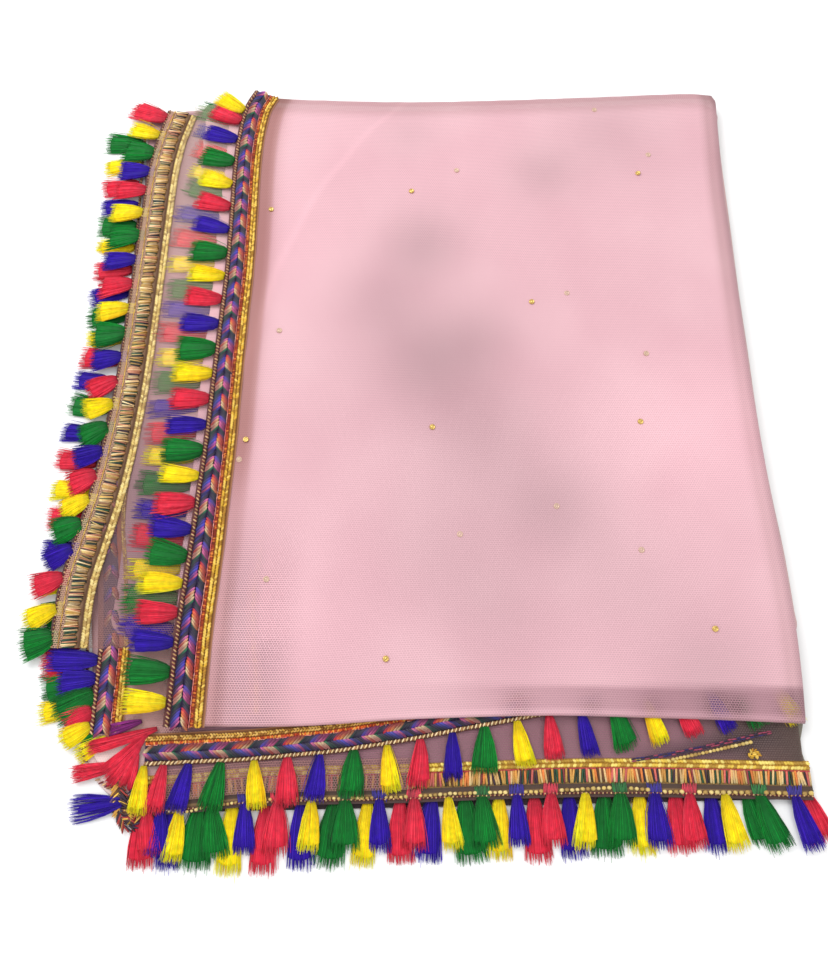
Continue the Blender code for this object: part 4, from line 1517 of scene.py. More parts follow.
# ---- cords ---------------------------------------------------------------------------------------
CHAIN_SLANT = 32.0
CORDS = (
    # border, finish, colours, places of its two rows, stitch, pitch, lift, seed, dullness
    ("top_left", "gold_cord", GOLD_COLOURS, (0.6, 3.0), (3.7, 2.1, 1.6), 2.1, 0.7, 11, 0.0),
    ("third_left", "gold_cord", GOLD_COLOURS, (0.6, 3.0), (3.7, 2.1, 1.6), 2.1, 0.7, 12, 0.0),
    ("end_upper", "gold_cord", DULL_GOLD_COLOURS, (0.9, 2.7), (3.0, 1.6, 1.6), 2.1, 0.7, 13, 0.0),
    ("second_left", "chain_cord", PALE_GOLD_COLOURS, (0.9, 3.2), (4.2, 2.8, 1.4), 2.2, 0.5, 14, 0.0),
    ("end_lower", "chain_cord", BRIGHT_GOLD_COLOURS, (1.5, 4.6), (3.4, 2.6, 1.4), 2.2, 0.5, 15, 0.0),
    ("third_covered", "gold_cord", GOLD_COLOURS, (0.9, 2.5), (2.8, 1.5, 0.9), 1.9, 0.4, 16, 0.5),
    ("under_top", "gold_cord", GOLD_COLOURS, (0.9, 2.5), (2.8, 1.5, 0.9), 1.9, 0.4, 17, 0.1),
)


def make_chain_cord(label, colours, columns, stitch, pitch, lift, seed, dull):
    """Two rows of slanting stitches that meet in small Vs, as a chain stitch does."""
    rng = np.random.default_rng(seed)
    border = BORDERS[label]
    distance = np.arange(pitch / 2, border.length, pitch)
    count = len(distance)
    rows = []
    for lateral, slant in zip(columns, (-CHAIN_SLANT, CHAIN_SLANT)):
        places = lateral + rng.normal(0.0, 0.07, count)
        degrees = slant + rng.normal(0.0, 5.0, count)
        sizes = vary(stitch, 0.9, 1.1, count, rng)
        tints = mute(pick(colours, rng.integers(0, len(colours), count), rng), dull)
        rows.append((distance, places, degrees, sizes, tints))
    distance, places, degrees, sizes, tints = join_rows(rows)
    name = "cord_" + label
    return lay_along(name, "stitch", border, distance, places, lift, degrees, sizes, tints, "zari")


# ---- the right side of the border ----------------------------------------------------------------
def make_ground(name, border, bands, lift=0.15, dull=0.0):
    """The woven backing as a thin strip, tinted across its width."""
    distance = np.linspace(0.0, border.length, max(3, int(border.length / 4)))
    laterals = np.array([lateral for lateral, _ in bands])
    points = border.place(laterals[None, :], distance[:, None], lift)
    tints = np.tile(np.array([tint for _, tint in bands])[None], (len(distance), 1, 1))
    return put_grid(name, points, MATERIALS["ground"], mute(tints, dull))


FACED_BANDS_AND_CORD_SHADOW = (
    # place across the border, colour of the backing there; the first two rows, on the net beside the cord,
    # are painted shadow
    (-2.3, (0.46, 0.22, 0.11)),
    (-1.5, (0.26, 0.10, 0.03)),
    (0.3, (0.14, 0.05, 0.01)),
    (4.4, (0.26, 0.07, 0.01)),
    (6.9, (0.32, 0.05, 0.012)),
    (7.3, (0.010, 0.003, 0.04)),
    (18.9, (0.010, 0.003, 0.04)),
    (19.6, (0.12, 0.035, 0.04)),
    (23.4, (0.12, 0.035, 0.03)),
)
BAND_SECOND = (
    # place across the border, colour
    (-0.4, (0.16, 0.09, 0.03)),
    (4.8, (0.18, 0.10, 0.03)),
    (5.1, (0.10, 0.04, 0.015)),
    (5.7, (0.10, 0.04, 0.015)),
    (7.1, (0.22, 0.12, 0.06)),
    (16.0, (0.42, 0.30, 0.18)),
    (16.6, (0.30, 0.17, 0.13)),
    (20.6, (0.32, 0.18, 0.14)),
    (21.8, (0.10, 0.05, 0.04)),
    (24.4, (0.08, 0.03, 0.03)),
)
BAND_LOWER = (
    # place across the border, colour
    (-0.4, (0.50, 0.26, 0.03)),
    (5.9, (0.55, 0.26, 0.03)),
    (6.2, (0.50, 0.05, 0.07)),
    (6.9, (0.50, 0.05, 0.07)),
    (7.2, (0.26, 0.15, 0.04)),
    (16.4, (0.26, 0.15, 0.04)),
    (16.8, (0.07, 0.04, 0.03)),
    (19.4, (0.08, 0.045, 0.03)),
    (20.2, (0.24, 0.14, 0.06)),
    (22.6, (0.10, 0.05, 0.03)),
    (23.3, (0.09, 0.045, 0.03)),
    (25.6, (0.06, 0.03, 0.03)),
)
LOWEST_SHADOW_BAND = (
    # place across the border, colour: a near-black strip of painted shadow round the roots of the lowest
    # tassels
    (10.0, (0.03, 0.016, 0.020)),
    (23.0, (0.03, 0.016, 0.020)),
)
BRAID_COLUMNS = (
    # place across the border, slant, colours
    (10.1, 38.0, BRAID_INNER),
    (15.9, -38.0, BRAID_OUTER),
)
BUNDLE_SIZE = (9.6, 2.7, 2.2)
BUNDLE_DIP = 0.10


def braid_bundles(border, pitch, lift, rng):
    """Places, turns, sizes and tints of the bundles in the two slanting columns of the braid."""
    count = int(border.length / pitch)
    order = np.arange(count)
    distance = (order + 0.5) * pitch
    along, outward = border.axes(distance)
    relief = np.array(BRAID_RELIEF)[order % len(BRAID_RELIEF)]
    rows = []
    for lateral, slant, colours in BRAID_COLUMNS:
        long_axis, wide_axis = turned(along, outward, slant + rng.normal(0.0, 2.5, count))
        long_axis[:, 2] -= BUNDLE_DIP
        places = lateral + rng.normal(0.0, 0.12, count)
        origins = border.place(places, distance, lift + relief + rng.uniform(-0.06, 0.06, count))
        sizes = vary(BUNDLE_SIZE, 0.95, 1.05, count, rng)
        pairs = np.array(colours)[order % len(colours)] * rng.uniform(0.88, 1.12, (count, 1, 1))
        # painted shade at each bundle's side and a painted highlight at its middle
        tints = np.clip(pairs * np.array(BRAID_PAINTED_SHADE_AND_HIGHLIGHT), 0.0, 1.0)
        rows.append((origins, long_axis, wide_axis, sizes, tints))
    return join_rows(rows)


COPPER_PITCH, COPPER_PLACE, COPPER_LIFT, COPPER_LOOP = 1.1, 5.75, 0.45, (2.7, 1.15, 0.9)
LINE_PITCH, LINE_STITCH, PALE_LINE_PLACE, PALE_LINE_LIFT = 3.2, 3.9, 7.1, 0.95
PALE_LINE_COLOURS = ((0.98, 0.30, 0.26), (0.95, 0.42, 0.36), (0.86, 0.16, 0.16))
BRAIDS = (
    # border, colours of its copper strip, lift, seed, shade, dullness where it lies under net
    ("top_left", COPPER_COLOURS, 0.95, 31, 0.85, 0.0),
    ("third_left", COPPER_COLOURS, 0.95, 41, 0.85, 0.0),
    ("end_upper", BRIGHT_COPPER_COLOURS, 0.95, 51, 0.66, 0.0),
    ("third_covered", None, -0.7, 61, 0.6, 0.3),
    ("under_top", None, -1.6, 71, 1.5, 0.3),
)


def make_chevron_braid(label, copper, lift, seed, shade, dull, pitch):
    """Ground and slanting bundles of thread, with a copper strip and a pale line where it shows."""
    rng = np.random.default_rng(seed)
    border = BORDERS[label]
    ground = make_ground("braid_ground_" + label, border, FACED_BANDS_AND_CORD_SHADOW, dull=dull)
    finish_piece(ground, "chevron_braid")
    *parts, tints = braid_bundles(border, pitch, lift, rng)
    tints = mute(tints, dull) * shade
    bundles = lay_copies("braid_" + label, SHAPES["bundle"], *parts, tints, MATERIALS["silk"])
    if copper is None:
        return finish_piece(bundles, "chevron_braid")
    finish_piece(bundles, "chevron_braid", "chevron_braid_" + label)
    finish_piece(make_copper_strip("copper_strip_" + label, border, copper, seed + 1), "gold_cord")
    line = make_thread_line(
        "pale_line_" + label, border, PALE_LINE_PLACE, PALE_LINE_COLOURS, seed + 2, PALE_LINE_LIFT
    )
    return finish_piece(line, "chevron_braid")


def make_copper_strip(name, border, colours, seed):
    """Small crosswise loops of copper thread beside the cord."""
    rng = np.random.default_rng(seed)
    distance = np.arange(0.5, border.length, COPPER_PITCH)
    count = len(distance)
    degrees = rng.normal(0.0, 16.0, count)
    places = COPPER_PLACE + rng.normal(0.0, 0.15, count)
    sizes = np.tile(COPPER_LOOP, (count, 1))
    tints = pick(colours, rng.integers(0, 3, count), rng, 0.3)
    lift = COPPER_LIFT
    return lay_along(name, "stitch", border, distance, places, lift, degrees, sizes, tints, "zari", True)


def make_thread_line(name, border, lateral, colours, seed, lift, thick=0.75):
    """A thin running thread along a border."""
    rng = np.random.default_rng(seed)
    distance = np.arange(1.0, border.length, LINE_PITCH)
    count = len(distance)
    degrees = rng.normal(0.0, 3.0, count)
    places = lateral + rng.normal(0.0, 0.08, count)
    sizes = np.tile((LINE_STITCH, thick, thick), (count, 1))
    tints = pick(colours, rng.integers(0, 3, count), rng)
    return lay_along(name, "stitch", border, distance, places, lift, degrees, sizes, tints, "silk")


# ---- the wrong side of the border ----------------------------------------------------------------
RIBBED_BANDS = (
    # border, backing, its ribs from and to across the border, width, height, pitch, bulge,
    # colours of light and dark ribs, shades of their two ends, seed
    (
        "second_left", BAND_SECOND, 6.6, 16.9, 1.15, 2.2, 0.95, 0.35,
        RIB_LIGHT_COLOURS, RIB_DARK_COLOURS, RIB_END_SHADES, 81,
    ),
    (
        "end_lower", BAND_LOWER, 6.6, 16.2, 1.55, 1.6, 1.6, 0.0,
        LOWER_RIB_LIGHT_COLOURS, LOWER_RIB_DARK_COLOURS, LOWER_RIB_END_SHADES, 82,
    ),
)
RIB_LIFT = 0.6
LIGHT_RUN = 2
BULGE_SPAN, SLANT_SPAN = 10.5, 35.0


def make_ribbed_band(
    label, bands, start, end, width, height, pitch, bulge, light_colours, dark_colours, end_shades, seed
):
    """Crosswise bundles of wound thread, a dark one after every few light ones."""
    rng = np.random.default_rng(seed)
    border = BORDERS[label]
    ground = make_ground("band_ground_" + label, border, bands)
    finish_piece(ground, "ribbed_band")
    distance = np.arange(pitch / 2, border.length, pitch)
    count = len(distance)
    light = (np.arange(count) + rng.integers(0, 2, count)) % (LIGHT_RUN + 1) != 0
    wander = np.cumsum(rng.normal(0.0, 0.06, count))
    arch = np.abs(np.sin(distance * math.pi / BULGE_SPAN + wander))
    swell = 1.0 + bulge * (arch - 0.6) + rng.normal(0.0, 0.04, count)
    degrees = 6.0 * np.sin(distance * 2 * math.pi / SLANT_SPAN) + rng.normal(0.0, 4.5, count)
    places = (start + end) / 2 + rng.normal(0.0, 0.2, count)
    lift = RIB_LIFT + bulge * 0.8 * arch
    widths = np.where(light, width * 1.1, width * 0.85)
    heights = height * np.where(light, 1.0, 0.8) * swell
    sizes = np.stack([(end - start) * swell, widths, heights], axis=1)
    order = rng.integers(0, 6, count)
    light_tints, dark_tints = pick(light_colours, order, rng, 0.2), pick(dark_colours, order, rng, 0.3)
    # ribs in the dips between the bulges get painted shade
    tints = np.where(light[:, None], light_tints, dark_tints) * (1.0 - 1.4 * bulge * (1.0 - arch))[:, None]
    tints = tints[:, None, :] * np.array(end_shades)
    name = "ribs_" + label
    ribs = lay_along(name, "rib", border, distance, places, lift, degrees, sizes, tints, "ribs", True)
    finish_piece(ribs, "ribbed_band", "ribbed_band_" + label)


def row_centres(row):
    """Distances along the border of every tassel of a row."""
    return interpolate(row[0], np.arange(len(row[1])))


PATCH_GROUND = (0.34, 0.21, 0.14)
PATCH_REACH, PATCH_THREADS = 4.6, 10


def make_root_patches(label, inner, outer, seed, lift, letters="BGR", blend=0.0):
    """Where a tassel is sewn in, its thread covers a patch of the border."""
    rng = np.random.default_rng(seed)
    border, row = BORDERS[label], TASSEL_ROWS[label]
    offsets = np.linspace(-PATCH_REACH, PATCH_REACH, PATCH_THREADS)
    chosen = [(centre, letter) for centre, letter in zip(row_centres(row), row[1]) if letter in letters]
    distance = (np.array([centre for centre, _ in chosen])[:, None] + offsets[None, :]).ravel()
    colours = np.repeat([TASSEL_COLOURS[letter][0] for _, letter in chosen], PATCH_THREADS, axis=0)
    keep = (distance > 0.0) & (distance < border.length)
    distance, colours = distance[keep], colours[keep]
    count = len(distance)
    degrees = rng.normal(0.0, 5.0, count)
    places = (inner + outer) / 2 + rng.normal(0.0, 0.5, count)
    sizes = np.tile((outer - inner, 1.2, 0.8), (count, 1))
    tints = np.clip(colours * rng.uniform(0.4, 0.95, (count, 1)) + 0.015, 0.0, 1.0)
    share = rng.uniform(0.6, 1.4, (count, 1)) * blend
    tints = tints * (1 - share) + np.array(PATCH_GROUND) * share
    name = "root_patches_" + label
    patches = lay_along(name, "stitch", border, distance, places, lift, degrees, sizes, tints, "silk", True)
    finish_piece(patches, "tassel_thread")


MESH_ZONE = (
    # from and to across the border, lift, colour, light that a hole stops
    16.2, 21.8, 1.0, (0.62, 0.38, 0.24), 0.04
)


def make_mesh_zone(name, border, cloth, start, end, lift, colour, veil):
    """A strip of net along a border."""
    distance = np.linspace(0.0, border.length, int(border.length / 4))
    lateral = np.linspace(start, end, 4)
    points = border.place(lateral[None, :], distance[:, None], lift)
    tints = np.tile((1.0, 1.0, 1.0, veil), (*points.shape[:2], 1))
    return put_grid(name, points, net_material(name.replace("_", " "), cloth, colour=colour), tints)


BEAD_LINE = (
    # distance along the lower end border, lateral place
    (0.0, 21.0),
    (99.0, 21.8),
    (134.0, 19.6),
    (189.0, 21.4),
    (244.0, 20.8),
    (299.0, 21.8),
    (376.0, 21.6),
    (423.0, 23.4),
    (436.0, 24.6),
    (463.0, 21.4),
)
BEAD_PITCH = (
    # distance along the lower end border, from one bead to the next
    (0.0, 4.5),
    (130.0, 3.8),
    (260.0, 3.4),
    (463.0, 2.9),
)


BEAD_FILL, BEAD_SHAPE = 0.84, (1.0, 0.92, 0.7)
BEAD_GAP = 4.4


def make_bead_row(label, seed, lift):
    """A row of gold beads, left out where a dark tassel is sewn in."""
    rng = np.random.default_rng(seed)
    border, row = BORDERS[label], TASSEL_ROWS[label]
    centres = np.array([centre for centre, letter in zip(row_centres(row), row[1]) if letter != "Y"])
    marks = [1.5]
    while marks[-1] < border.length - 2.0:
        marks.append(marks[-1] + float(interpolate(BEAD_PITCH, marks[-1])))
    distance = np.array(marks)
    nearest = np.abs(distance[:, None] - centres[None, :]).min(axis=1)
    distance = distance[nearest > BEAD_GAP]
    count = len(distance)
    degrees = rng.normal(0.0, 8.0, count)
    places = interpolate(BEAD_LINE, distance) + rng.normal(0.0, 0.15, count)
    across = interpolate(BEAD_PITCH, distance)[:, None] * BEAD_FILL
    sizes = across * vary(BEAD_SHAPE, 0.88, 1.08, count, rng)
    tints = pick(PALE_GOLD_COLOURS, rng.integers(0, 3, count), rng, 0.15)
    name = "beads_" + label
    return lay_along(name, "bead", border, distance, places, lift, degrees, sizes, tints, "zari")


ROPE_PITCH, ROPE_SLANT = 1.45, 52.0
ROPES = (
    # border, place across it, width, colours, lift, seed
    ("top_left", 20.7, 2.8, ROPE_COLOURS, 0.9, 91),
    ("third_left", 20.9, 2.8, ROPE_COLOURS, 0.9, 92),
    ("end_upper", 21.2, 2.9, LIGHT_ROPE_COLOURS, 0.9, 93),
    ("second_left", 22.6, 1.2, ROPE_COLOURS, 0.7, 94),
    ("end_lower", 22.9, 1.2, ROPE_COLOURS, 0.9, 95),
    ("end_lowest", 18.6, 2.4, DARK_ROPE_COLOURS, 0.9, 96),
    ("left_lowest", 21.6, 2.4, ROPE_COLOURS, 0.9, 97),
    ("corner_turn", 21.6, 3.4, ROPE_COLOURS, 0.9, 98),
)


def make_rope(label, lateral, width, colours, lift, seed):
    """A twisted rope of crochet: slanting stitches that change colour by turns."""
    rng = np.random.default_rng(seed)
    border = BORDERS[label]
    distance = np.arange(ROPE_PITCH / 2, border.length, ROPE_PITCH)
    count = len(distance)
    degrees = ROPE_SLANT + rng.normal(0.0, 5.0, count)
    places = lateral + rng.normal(0.0, 0.1, count)
    sizes = vary((width * 1.25, 1.35, 1.5), 0.92, 1.08, count, rng)
    tints = pick(colours, np.arange(count), rng, 0.2)
    name = "crochet_" + label
    return lay_along(name, "stitch", border, distance, places, lift, degrees, sizes, tints, "crochet")


def path_points(rows, step):
    """Even steps along a curve through points, and its direction at each."""
    rows = np.array(rows, float)
    marks = running_length(rows)
    distance = np.arange(0.0, marks[-1], step)

    def at(value):
        value = np.clip(value, 0.0, marks[-1])
        columns = [interpolate(np.column_stack([marks, rows[:, axis]]), value) for axis in range(3)]
        return np.stack(columns, axis=-1)

    return at(distance), unit(at(distance + 0.5) - at(distance - 0.5))


CURL_PITCH, CURL_SLANT, CURL_LOWEST = 1.2, 46.0, 0.9


def make_curl(name, rows, width, colours, material, seed):
    """The crocheted edge where it leaves its border and curls over on itself."""
    rng = np.random.default_rng(seed)
    points, run = path_points(rows, CURL_PITCH)
    count = len(points)
    side = unit(np.cross(UP, run))
    layers = []
    for offset, slant in ((-0.27, -CURL_SLANT), (0.27, CURL_SLANT)):
        long_axis, wide_axis = turned(run, side, slant + rng.normal(0.0, 9.0, count))
        origins = points + side * offset * width + rng.normal(0.0, 0.25, (count, 3))
        origins[:, 2] = np.maximum(origins[:, 2], CURL_LOWEST)
        sizes = vary((width * 0.85, 1.5, 1.7), 0.85, 1.15, count, rng)
        tints = pick(colours, rng.integers(0, len(colours), count), rng, 0.3)
        layers.append((origins, long_axis, wide_axis, sizes, tints))
    return lay_copies(name, SHAPES["stitch"], *join_rows(layers), MATERIALS[material])


HIDDEN_BEADS = (
    # x, y, z
    (118.0, -21.5, 5.9),
    (140.0, -17.0, 6.1),
    (160.0, -12.5, 6.1),
    (176.0, -9.0, 5.9),
)
GOLD_CLUMP = (
    # x, y, z
    (172.0, -19.0, 6.0),
    (175.0, -16.0, 6.5),
    (178.0, -19.0, 6.2),
)


def make_hidden_beads(name, seed):
    """A few beads of a border that turns under the top panel's fold."""
    rng = np.random.default_rng(seed)
    points, run = path_points(HIDDEN_BEADS, 2.7)
    count = len(points)
    side = np.cross(UP, run)
    sizes = vary((3.0, 2.6, 2.0), 0.85, 1.1, count, rng)
    tints = pick(PALE_GOLD_COLOURS, rng.integers(0, 3, count), rng, 0.15)
    return lay_copies(name, SHAPES["bead"], points, run, side, sizes, tints, MATERIALS["zari"])


# ---- tassels -------------------------------------------------------------------------------------
ROOT_INSET, LOWEST_ROOT_INSET = 1.2, 6.4


def row_brushes(label, rng):
    """Roots, directions, lengths and heights of the tassels of one row."""
    border, row = BORDERS[label], TASSEL_ROWS[label]
    _, letters, length, root_z, mid_z, tip_z, lean, shape = row
    centres = row_centres(row)
    count = len(centres)
    along, outward = border.axes(centres)
    angle = np.radians(interpolate(lean, centres) + rng.normal(0.0, 2.6, count))[:, None]
    pointing = outward * np.cos(angle) + along * np.sin(angle)
    inset = LOWEST_ROOT_INSET if label == "end_lowest" else ROOT_INSET
    roots = border.place(OUTER - inset, centres)
    reach = interpolate(length, centres) if isinstance(length, tuple) else length
    fullness = np.array([TASSEL_FULLNESS[letter] for letter in letters])
    return {
        "letters": letters,
        "roots": roots,
        "pointing": pointing,
        "lengths": reach * rng.uniform(0.96, 1.03, count),
        "heights": np.tile((root_z, mid_z, tip_z), (count, 1)),
        "fullness": fullness * rng.uniform(0.92, 1.06, count),
        "shape": shape,
    }


def loose_brushes(rows, shape):
    """The same for tassels that are placed one by one, from root to tip."""
    letters = "".join(row[0] for row in rows)
    numbers = np.array([row[1:] for row in rows])
    run = numbers[:, 3:5] - numbers[:, 0:2]
    length = np.linalg.norm(run, axis=1)
    pointing = np.column_stack([run / length[:, None], np.zeros(len(rows))])
    root_z, tip_z = numbers[:, 2], numbers[:, 5]
    return {
        "letters": letters,
        "roots": numbers[:, 0:3],
        "pointing": pointing,
        "lengths": length,
        "heights": np.column_stack([root_z, root_z * 0.6 + tip_z * 0.4, tip_z]),
        "fullness": numbers[:, 6] / shape[-1][1],
        "shape": shape,
    }


MIDDLE_SHARE = 0.34


def brush_frame(brushes, share):
    """Half width and half height at shares of the length, and the middle line of each tassel."""
    shape = np.array(brushes["shape"])
    half_width = interpolate(shape[:, (0, 1)], share)[None, :] * brushes["fullness"][:, None]
    half_height = interpolate(shape[:, (0, 2)], share)
    root_z, mid_z, tip_z = brushes["heights"].T[:, :, None]
    first = np.clip(share / MIDDLE_SHARE, 0.0, 1.0)
    rest = np.clip((share - MIDDLE_SHARE) / (1.0 - MIDDLE_SHARE), 0.0, 1.0)
    middle = root_z + (mid_z - root_z) * first + (tip_z - mid_z) * rest
    return half_width, half_height, middle, np.cross(brushes["pointing"], UP)


STRAND_SECTION = (
    # share of the length, thickness, shade: painted shade deepest at the root, lighter towards the tip
    (0.00, 0.80, 0.60),
    (0.12, 1.05, 0.80),
    (0.38, 1.15, 1.00),
    (0.72, 1.05, 1.12),
    (1.00, 0.50, 1.18),
)
CORE_SECTION = (
    # share of the length, of the half width and of the half height, shade: painted shade, deepest at the
    # root
    (0.00, 0.50, 0.50, 0.4),
    (0.05, 1.00, 0.90, 0.5),
    (0.14, 0.95, 0.85, 0.6),
    (0.32, 0.93, 0.80, 0.8),
    (0.55, 0.92, 0.70, 0.9),
    (0.85, 0.86, 0.50, 1.0),
    (0.90, 0.30, 0.20, 1.0),
)
STRAND_SIDES, CORE_SIDES = 3, 10
LOWEST_STRAND, LOWEST_CORE = 0.35, 0.2
ODD_DARK, ODD_LIGHT, STRAY = 0.12, 0.4, 0.03


def strand_tints(letters, across, above, shades, rng):
    """A tint for each strand: main thread, some lighter or darker, and painted shade on one side and low
    down.
    """
    tassels, count = across.shape
    colours = np.array([TASSEL_COLOURS[letter] for letter in letters])
    main, light, dark = colours.transpose(1, 0, 2)[:, :, None, :]
    dark_side = rng.choice((-1.0, 1.0), (tassels, 1))
    # painted shade on one side of each tassel
    side_shade = smooth_step(0.25, 1.05, across * dark_side) * rng.uniform(0.1, 0.7, (tassels, 1))
    # painted shade on the strands that lie low in the brush
    under = smooth_step(0.0, -0.9, above) * 0.7
    odd_dark = (rng.random((tassels, count)) < ODD_DARK) * rng.uniform(0.3, 0.9, (tassels, count))
    darker = np.clip(np.maximum(np.maximum(side_shade, odd_dark), under), 0.0, 1.0)[..., None]
    lighter = (rng.random((tassels, count)) < ODD_LIGHT) * rng.uniform(0.3, 1.0, (tassels, count))
    colour = main * (1 - lighter[..., None]) + light * lighter[..., None]
    colour = colour * (1 - darker) + dark * darker
    return np.clip(colour[:, :, None, :] * shades[:, None], 0.0, 1.0)


def make_strands(name, brushes, strands, width, seed, parting):
    """Tassels of one row as separate strands that open from a gathered root into a brush."""
    rng = np.random.default_rng(seed)
    share, thickness, shades = np.array(STRAND_SECTION).T
    half_width, half_height, middle, side = brush_frame(brushes, share)
    tassels = len(brushes["letters"])
    across = rng.uniform(-1.0, 1.0, (tassels, strands))
    above = rng.uniform(-1.0, 1.0, (tassels, strands)) * np.sqrt(1 - 0.8 * across**2)
    clumps = rng.integers(4, 7, (tassels, 1))
    gathered = (np.round(across * clumps) + rng.normal(0.0, 0.16, across.shape)) / clumps
    open_share = share**2 * parting
    spread_of = across[..., None] * (1 - open_share) + gathered[..., None] * open_share
    reach = brushes["lengths"][:, None] * (1 + rng.normal(0.0, 0.045, across.shape))
    reach = reach - 1.2 * np.abs(across) ** 3
    stray = rng.random(across.shape) < STRAY
    spread_of = spread_of * np.where(stray, rng.uniform(1.1, 1.4, across.shape), 1.0)[..., None]
    waves = rng.uniform(0.2, 0.7, across.shape)[..., None]
    phase = rng.uniform(0.0, 6.28, across.shape)[..., None]
    sway = rng.normal(0.0, 1.2, (tassels, 1, 1)) * share**2
    lateral = spread_of * half_width[:, None, :] + sway
    lateral = lateral + waves * np.sin(share * 5.0 + phase) * share * 0.8
    lifted = middle[:, None, :] + above[..., None] * half_height
    lifted = lifted + np.where(stray, rng.uniform(0.0, 1.0, across.shape), 0.0)[..., None] * share

    forward = brushes["pointing"][:, None, None, :] * (reach[..., None] * share)[..., None]
    line = brushes["roots"][:, None, None, :] + forward + side[:, None, None, :] * lateral[..., None]
    line[..., 2] = np.maximum(lifted, LOWEST_STRAND)
    angles = math.pi / 2 + np.arange(STRAND_SIDES) * 2 * math.pi / STRAND_SIDES
    around = side[:, None, None, None, :] * np.cos(angles)[:, None] + UP * np.sin(angles)[:, None]
    points = line[..., None, :] + around * (width / 2 * thickness)[:, None, None]
    points = points.reshape(-1, len(share), STRAND_SIDES, 3)
    tints = strand_tints(brushes["letters"], across, above, shades, rng)
    tints = np.repeat(tints.reshape(-1, 3), STRAND_SIDES, axis=0)
    return put_tubes(name, points, MATERIALS["tassel"], tints, first_end=False)


def make_cores(name, brushes, fill):
    """The dense inside of each tassel, from its wrapped knot to near its tip."""
    share, widths, heights, shades = np.array(CORE_SECTION).T
    half_width, half_height, middle, side = brush_frame(brushes, share)
    forward = brushes["pointing"][:, None, :] * (brushes["lengths"][:, None] * share)[..., None]
    line = brushes["roots"][:, None, :] + forward
    line[..., 2] = middle
    angles = np.linspace(0.0, 2 * math.pi, CORE_SIDES + 1)[:-1]
    ring = side[:, None, None, :] * (np.cos(angles) * (half_width * widths * fill)[..., None])[..., None]
    rise = UP * (np.sin(angles) * (half_height * heights)[:, None])[..., None]
    points = line[:, :, None, :] + ring + rise
    points[..., 2] = np.maximum(points[..., 2], LOWEST_CORE)
    colours = np.array([TASSEL_COLOURS[letter] for letter in brushes["letters"]])
    # the core is darker than its strands: painted shade inside the tassel
    base = colours[:, 0] * 0.6 + colours[:, 2] * 0.4
    tints = np.repeat((base[:, None, :] * shades[:, None]).reshape(-1, 3), CORE_SIDES, axis=0)
    return put_tubes(name, points, MATERIALS["tassel"], tints)


HIDDEN_ROWS = ("left_lowest", "under_second")
HIDDEN_ROW_STRANDS, CORNER_STRANDS = 70, 130


def make_tassels(label, brushes, count, width, seed, fill=1.0, parting=0.5):
    """Strands and cores of one row of tassels."""
    strands = make_strands("tassels_" + label, brushes, count, width, seed, parting)
    finish_piece(strands, "tassel_thread")
    finish_piece(make_cores("tassel_cores_" + label, brushes, fill), "tassel_thread")


# ---- studs ---------------------------------------------------------------------------------------
STUD_STEPS = (
    # inset, rise, in shares of the radius: rim, its top, the cup and the dome
    (0.16, 0.14),
    (0.14, -0.05),
    (0.18, -0.30),
    (0.22, 0.26),
)


def model_stud(radius):
    """A shallow metal cup with a turned rim and a small dome, modelled once."""
    bpy.ops.object.select_all(action="DESELECT")
    bpy.ops.mesh.primitive_cylinder_add(vertices=16, radius=radius, depth=0.28 * radius, calc_uvs=True)
    bpy.ops.object.mode_set(mode="EDIT")
    bpy.ops.mesh.select_all(action="DESELECT")
    bpy.ops.object.mode_set(mode="OBJECT")
    mesh = bpy.context.object.data
    for face in mesh.polygons:
        face.select = face.normal.z > 0.9
    bpy.ops.object.mode_set(mode="EDIT")
    bpy.ops.mesh.select_mode(type="FACE")
    for inset, rise in STUD_STEPS:
        bpy.ops.mesh.inset(thickness=inset * radius, depth=rise * radius)
    points, corners, starts, uv = take_shape()
    return points / MM, corners, starts, uv


def make_studs(name, places, lift, size, material, seed):
    """Studs on the top net, each with its own turn and a slight tilt."""
    rng = np.random.default_rng(seed)
    x, y = np.array(places).T
    origins = np.column_stack([x, y, main_height(x, y) + lift])
    count = len(places)
    turn = rng.uniform(0.0, 6.28, count)
    tilt = rng.normal(0.0, 0.07, (count, 2))
    long_axis = unit(np.column_stack([np.cos(turn), np.sin(turn), tilt[:, 0]]))
    wide_axis = np.column_stack([-np.sin(turn), np.cos(turn), tilt[:, 1]])
    wide_axis = unit(wide_axis - long_axis * np.sum(long_axis * wide_axis, axis=1, keepdims=True))
    same = np.ones((count, 3))
    return lay_copies(name, model_stud(size / 2), origins, long_axis, wide_axis, same, same, material)


SHAPES = {}
MATERIALS = {}


def prepare_shapes():
    SHAPES["bundle"] = model_thread_bundle()
    SHAPES["rib"] = model_rib()
    SHAPES["stitch"] = model_ball(6, 4)
    SHAPES["bead"] = model_ball(7, 5)


def prepare_materials():
    MATERIALS["silk"] = thread_material(
        "embroidery silk", 0.5, sheen=0.08, ply=2.0, relief=0.25, direction="X", contrast=(0.45, 1.25)
    )
    MATERIALS["zari"] = thread_material("metal thread", 0.5, metallic=0.15, ply=6.0, relief=0.2)
    MATERIALS["ribs"] = thread_material(
        "wound thread", 0.45, metallic=0.15, ply=1.3, relief=0.2, direction="X", contrast=(0.6, 1.15)
    )
    MATERIALS["ground"] = ground_material("border ground")
    MATERIALS["crochet"] = thread_material("crochet thread", 0.5, metallic=0.1, ply=4.0, relief=0.2)
    MATERIALS["tassel"] = strand_material("tassel thread")


